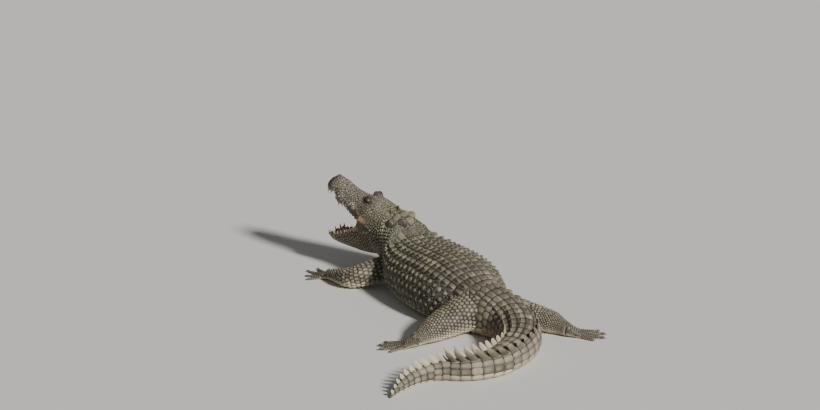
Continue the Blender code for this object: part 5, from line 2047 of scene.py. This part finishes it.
@dataclass
class Eye:
    """One eye with its upright slit, in an almond opening between thick lids."""

    side: int
    radius: float = EYE_RADIUS
    wide: float = 52.0
    tall: float = 27.0
    around: int = 48
    lid_sides: int = 72

    def frame(self) -> tuple[Array, Array, Array, Array]:
        """The eye's centre in the scene and its directions out, forward and up."""
        across, reach, height = EYE_PLACE
        turn = np.array(HEAD.upper)
        local = np.array([self.side * (across + 0.0045), -reach - 0.002, height + 0.001])
        centre = turn[:3, :3] @ local + turn[:3, 3]
        out = turn[:3, :3] @ unit(np.array([self.side * 1.0, -0.25, 0.25]))
        up = turn[:3, :3] @ np.array([0, 0, 1.0])
        up = unit(up - out * (up @ out))
        ahead = np.cross(up, out) * self.side
        if ahead @ (turn[:3, :3] @ np.array([0, -1.0, 0])) < 0:
            ahead = -ahead
        return centre, out, ahead, up

    def angles(self, points: Array) -> tuple[Array, Array, Array]:
        """How far points stand forward and up of the eye's way out, in degrees, and their distance."""
        centre, out, ahead, up = self.frame()
        offset = points - centre
        distance = np.linalg.norm(offset, axis=1)
        way = offset / np.maximum(distance, 1e-9)[:, None]
        depth = np.maximum(way @ out, 1e-3)
        forward = np.degrees(np.arctan2(way @ ahead, depth))
        upward = np.degrees(np.arctan2(way @ up, depth))
        return np.where(way @ out > 0, forward, 180.0), upward, distance

    def open_socket(self, points: Array) -> Array:
        """Sinks the skin behind the eye's front inside the opening, with a rounded bank round it."""
        centre, _, _, _ = self.frame()
        forward, upward, distance = self.angles(points)
        share = np.hypot(forward / self.wide, upward / (self.tall * (1 - 0.3 * (forward / self.wide) ** 2)))
        inside = (share < 1.30) & (distance < self.radius * 2.2)
        floor = self.radius * np.interp(share, (0, 0.9, 1.08, 1.30), (0.60, 0.72, 1.02, 1.16))
        wanted = np.where(inside, np.minimum(distance, floor), distance)
        return centre + (points - centre) * (wanted / np.maximum(distance, 1e-9))[:, None]

    def build(self) -> bpy.types.Object:
        """Makes the eyeball, its pole at the pupil."""
        centre, out, ahead, up = self.frame()
        polar = np.concatenate([np.linspace(0.001, 1.25, 26), np.linspace(1.35, math.pi - 0.02, 12)])
        turn = circle(self.around)
        rings, outs, slits = [], [], []
        for angle in polar:
            radius = self.radius * (1 + 0.055 * math.exp(-((angle / 0.45) ** 2)))
            around = np.outer(np.cos(turn), ahead) + np.outer(np.sin(turn), up)
            rings.append(centre + radius * (math.cos(angle) * out + math.sin(angle) * around))
            outs.append(np.full(self.around, angle / 0.98))
            x, y = math.sin(angle) * np.cos(turn), math.sin(angle) * np.sin(turn)
            slits.append(np.abs(x) / np.maximum(0.10 * (1 - (y / 0.62) ** 2), 0.004))
        verts, faces = lofted(rings)
        made = mesh_object(f"eyeball_{'left' if self.side > 0 else 'right'}", verts, faces, EYE)
        put_numbers(made, out=np.concatenate(outs), slit=np.clip(np.concatenate(slits), 0, 4))
        return made

    def lids(self, ground: Ground) -> bpy.types.Object:
        """Makes the ring of lids, from the eye's surface over a thick rim out to the skin."""
        centre, out, ahead, up = self.frame()
        sides = self.lid_sides
        turn = circle(sides)
        steps = (
            (0.86, 0.985, 0.1), (0.93, 1.045, 0.45), (1.0, 1.15, 0.85), (1.10, 1.22, 1.0),
            (1.22, 1.20, 0.75), (1.34, 1.13, 0.3), (1.46, 1.17, 0.7), (1.62, 1.24, 0.95),
            (1.80, 1.20, 0.5), (2.05, 0.0, 0.6),
        )
        rings, relief = [], []
        for share, size, shade in steps:
            forward = self.wide * share * np.cos(turn)
            narrow = 1 - 0.3 * np.cos(turn) ** 2 * min(share, 1.0)
            upward = self.tall * share * np.sin(turn) * narrow
            forward, upward = np.radians(forward * 0.98), np.radians(upward)
            way = unit(
                out + np.outer(np.tan(np.clip(forward, -1.35, 1.35)), ahead)
                + np.outer(np.tan(np.clip(upward, -1.3, 1.3)), up)
            )
            reach = size * self.radius * np.ones(sides)
            if size == 0.0:
                landed, _, _ = ground.drop(centre + way * self.radius * 1.25, way)
                rings.append(landed - way * 0.0015)
            else:
                wrinkle = 0.0006 * np.sin(turn * 17 + share * 9) * shade
                rings.append(centre + way * (reach + wrinkle)[:, None])
            relief.append(np.full(sides, shade))
        faces = []
        for row in range(len(rings) - 1):
            here, there = row * sides, (row + 1) * sides
            faces += [
                (here + k, here + (k + 1) % sides, there + (k + 1) % sides, there + k) for k in range(sides)
            ]
        points = np.concatenate(rings)
        made = mesh_object(f"lids_{'left' if self.side > 0 else 'right'}", points, faces, HIDE)
        turn_out(made)
        tone, bare = np.full(len(points), 0.42), np.full(len(points), 0.4)
        # The lids' inner rim and crease take low relief, which the hide paints dark as shade.
        put_numbers(made, relief=0.2 + 0.7 * np.concatenate(relief), tone=tone, bare=bare)
        put_markings(made, points, np.tile(out, (len(points), 1)))
        return made


# ---- teeth, tongue and claws ----


@dataclass
class ToothRow:
    """Curved conical teeth along both sides of one jaw."""

    name: str
    width: Knots
    lip: Knots
    sizes: Knots
    end: float
    inset: float
    way: int
    matrix: Matrix
    sides: int = 12
    root: float = 0.010
    slim: float = 0.40

    def build(self) -> bpy.types.Object:
        """Makes every tooth of the row as one mesh."""
        reach = np.linspace(self.sizes[0][0], self.end, 400)
        across = profile(self.width, reach) * (1 - self.inset)
        run = np.concatenate([[0], np.cumsum(np.hypot(np.diff(reach), np.diff(across)))])
        count = int(run[-1] / TOOTH_SPACING)
        dice = np.random.default_rng(61 if self.way < 0 else 62)
        turn = circle(self.sides)
        teeth, relief = [], []
        for k in range(count):
            for side in (-1, 1):
                along = (k + 0.5 + dice.uniform(-0.12, 0.12)) * run[-1] / count
                at, out = float(np.interp(along, run, reach)), float(np.interp(along, run, across))
                size = float(profile(self.sizes, at)) * dice.uniform(0.82, 1.06)
                lip = float(profile(self.lip, at))
                levels = np.linspace(0, 1, 11)
                rings = []
                for level in levels:
                    rise = -self.root + (size + self.root) * level
                    wide = self.slim * size * 0.5 * (1 - level**1.7) ** 0.75
                    wide = wide * (1.15 - 0.15 * level) + 0.0002
                    bend = 0.16 * size * level**2
                    centre = (side * (out - 0.35 * bend), at - bend, lip + self.way * rise)
                    rings.append(np.column_stack([
                        centre[0] + wide * np.cos(turn), centre[1] + wide * 1.12 * np.sin(turn),
                        np.full(self.sides, centre[2]),
                    ]) * (1, -1, 1))
                points, loops = lofted(rings)
                teeth.append((moved(points, self.matrix), loops))
                relief.append(np.repeat(np.clip((levels - 0.1) / 0.9, 0, 1), self.sides))
        made = mesh_object(self.name, *gathered(teeth), ENAMEL)
        turn_out(made)
        put_numbers(made, relief=np.concatenate(relief))
        return made


class Tongue:
    """The low, warty tongue on the floor of the mouth."""

    def build(self) -> bpy.types.Object:
        """Makes the tongue."""
        rings = []
        across = np.linspace(-1, 1, 33)
        for reach in np.linspace(0.085, 0.368, 60):
            half, lip, base = (float(profile(k, reach)) for k in (JAW_WIDTH, JAW_LIP, JAW_BASE))
            drop = min(FLOOR_DROP, 0.4 * (lip - base))
            taper = math.sqrt(max(1 - ((reach - 0.085) / 0.284) ** 4, 0.004))
            low = lip - drop * (1 - 0.62**3) + 0.0040
            groove = 0.0018 * np.exp(-((across / 0.10) ** 2))
            top = low + 0.0015 + 0.0115 * taper * (1 - np.abs(across) ** 2.4) - groove
            side, back = half * 0.62 * taper * across, np.full(len(across), -reach)
            over = np.column_stack([side, back, top])
            under = np.column_stack([side[::-1], back, np.full(len(across), low)])
            rings.append(moved(np.concatenate([over, under]), HEAD.lower))
        made = mesh_object("tongue_flesh", *lofted(rings), TONGUE)
        turn_out(made)
        return made


@dataclass
class Claw:
    """One curved claw with a ridge along its top."""

    limb: LimbForm
    digit: tuple
    node: str
    sides: int = 16

    def build(self) -> bpy.types.Object:
        """Makes the claw, which stands for its solid."""
        points, radius = self.limb.digit_points(self.digit), self.digit[2]
        ahead = unit(points[2] - points[1])
        aside = unit(np.array([ahead[1], -ahead[0], 0.0]))
        turn = circle(self.sides)
        rings, relief = [], []
        for share in np.linspace(-0.22, 1.0, 16):
            centre = points[2] + ahead * share * CLAW_LENGTH
            rise = max(share, 0.0)
            centre[2] = radius * (0.62 + 0.30 * math.sin(math.pi * rise) - 0.40 * rise)
            size = radius * 0.47 * (1 - rise**1.3) ** 0.9 + 0.0004
            ring = centre + np.outer(np.cos(turn) * size * 0.85, aside)
            ring[:, 2] = np.maximum(ring[:, 2] + np.sin(turn) * size * 1.15, FLOOR_CLEARANCE * 0.5)
            rings.append(ring)
            relief.append(np.full(self.sides, rise))
        made = mesh_object(f"{self.node}_horn", *lofted(rings), HORN)
        turn_out(made)
        put_numbers(made, relief=np.concatenate(relief))
        return made


# ---- the whole animal ----


FLESH = (
    "head", "lower_jaw", "neck", "trunk", "tail_1", "tail_2", "tail_3", "tail_4", "tail_5",
    "upper_arm_left", "forearm_left", "hand_left", "upper_arm_right", "forearm_right", "hand_right",
    "thigh_left", "shank_left", "foot_left", "thigh_right", "shank_right", "foot_right",
)


@dataclass
class Crocodile:
    """The skin with everything that stands on it."""

    pieces: list[bpy.types.Object] = field(default_factory=list)

    def keep(self, made: bpy.types.Object, slot: str, *nodes: str) -> bpy.types.Object:
        """Ties a piece to the part's own frame.

        Args:
            made: the piece.
            slot: the part's material slot that it shows; not used.
            nodes: the solids that it stands for, if any.

        Returns:
            The piece.
        """
        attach(made, "root")
        if nodes:
            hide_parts(*nodes)
        self.pieces.append(made)
        log.info("%s: %d faces", made.name, len(made.data.polygons))
        return made

    def build(self) -> None:
        """Makes the skin, the scales, the crest, the eyes, the mouth and the claws."""
        skin = Skin()
        cover = self.keep(skin.build(), "skin", *FLESH)
        ground = Ground(cover)
        hide = Hide(ground)
        ScalePlan().plant(hide)
        for made in hide.build():
            self.keep(made, "skin")
        skin.dress(cover, hide.seeds())
        self.keep(Crest().build(), "skin")
        for side, name in ((1, "eye_left"), (-1, "eye_right")):
            self.keep(Eye(side).build(), "eye", name)
            self.keep(Eye(side).lids(ground), "skin")
        self.mouth()
        for foot, limb in LIMBS.items():
            for number, digit in enumerate(limb.digits):
                if digit[3]:
                    node = f"claw_{foot}_{number + 1}"
                    self.keep(Claw(limb, digit, node).build(), "horn", node)

    def mouth(self) -> None:
        """Makes the teeth and the tongue."""
        jaws = (
            ("upper", HEAD_WIDTH, HEAD_LIP, UPPER_TEETH, HEAD_LENGTH, -1, HEAD.upper),
            ("lower", JAW_WIDTH, JAW_LIP, LOWER_TEETH, JAW_LENGTH, 1, HEAD.lower),
        )
        for name, width, lip, sizes, length, way, matrix in jaws:
            teeth = ToothRow(f"teeth_{name}_enamel", width, lip, sizes, length - 0.008, 0.10, way, matrix)
            self.keep(teeth.build(), "horn")
        self.keep(Tongue().build(), "mouth", "tongue")


# ---- the studio ----


@dataclass
class Studio:
    """A pale floor, one soft lamp and a camera."""

    target: tuple[float, float, float] = (0.094, -0.306, 0.599)
    azimuth: float = 150.0
    elevation: float = 20.0
    distance: float = 25.0
    lens: float = 171.2
    sun: float = 4.9
    sun_angle: float = 8.0
    sun_height: float = 34.0
    sky: float = 0.22

    def build(self) -> None:
        """Sets the floor, the light, the world and the camera."""
        self.floor()
        self.lamp()
        world = bpy.data.worlds.new("studio")
        world.use_nodes = True
        world.node_tree.nodes["Background"].inputs["Color"].default_value = (0.80, 0.82, 0.85, 1.0)
        world.node_tree.nodes["Background"].inputs["Strength"].default_value = self.sky
        bpy.context.scene.world = world
        self.camera()

    def floor(self) -> None:
        """Lays the floor plane."""
        corners = ((-1, -1), (1, -1), (1, 1), (-1, 1))
        verts = [(x * FLOOR_HALF, y * FLOOR_HALF, FLOOR_LEVEL) for x, y in corners]
        mesh_object("floor", verts, [(0, 1, 2, 3)], FLOOR, smooth=False)

    def lamp(self) -> None:
        """Hangs the key lamp behind the animal's right."""
        light = bpy.data.lights.new("key", "SUN")
        light.energy, light.angle = self.sun, math.radians(self.sun_angle)
        lamp = bpy.data.objects.new("key", light)
        bpy.context.collection.objects.link(lamp)
        height = math.radians(self.sun_height)
        way = Vector((-0.22 * math.cos(height), 0.98 * math.cos(height), math.sin(height)))
        lamp.rotation_euler = way.to_track_quat("Z", "Y").to_euler()

    def camera(self) -> None:
        """Stands the camera."""
        lens = bpy.data.cameras.new("view")
        lens.lens, lens.sensor_width, lens.clip_end = self.lens, 36.0, 500.0
        camera = bpy.data.objects.new("view", lens)
        bpy.context.collection.objects.link(camera)
        turn, lift = math.radians(self.azimuth), math.radians(self.elevation)
        way = Vector((math.cos(lift) * math.sin(turn), -math.cos(lift) * math.cos(turn), math.sin(lift)))
        camera.location = Vector(self.target) + way * self.distance
        camera.rotation_euler = way.to_track_quat("Z", "Y").to_euler()
        bpy.context.scene.camera = camera


def main() -> None:
    """Builds the animal, sets the studio and works out the bounds of its pieces."""
    logging.basicConfig(level=logging.INFO, format="%(name)s %(message)s")
    animal = Crocodile()
    animal.build()
    Studio().build()
    low, high = np.full(3, np.inf), np.full(3, -np.inf)
    for piece in animal.pieces:
        points, _ = vert_arrays(piece)
        low, high = np.minimum(low, points.min(0)), np.maximum(high, points.max(0))


if __name__ == "__main__":
    main()
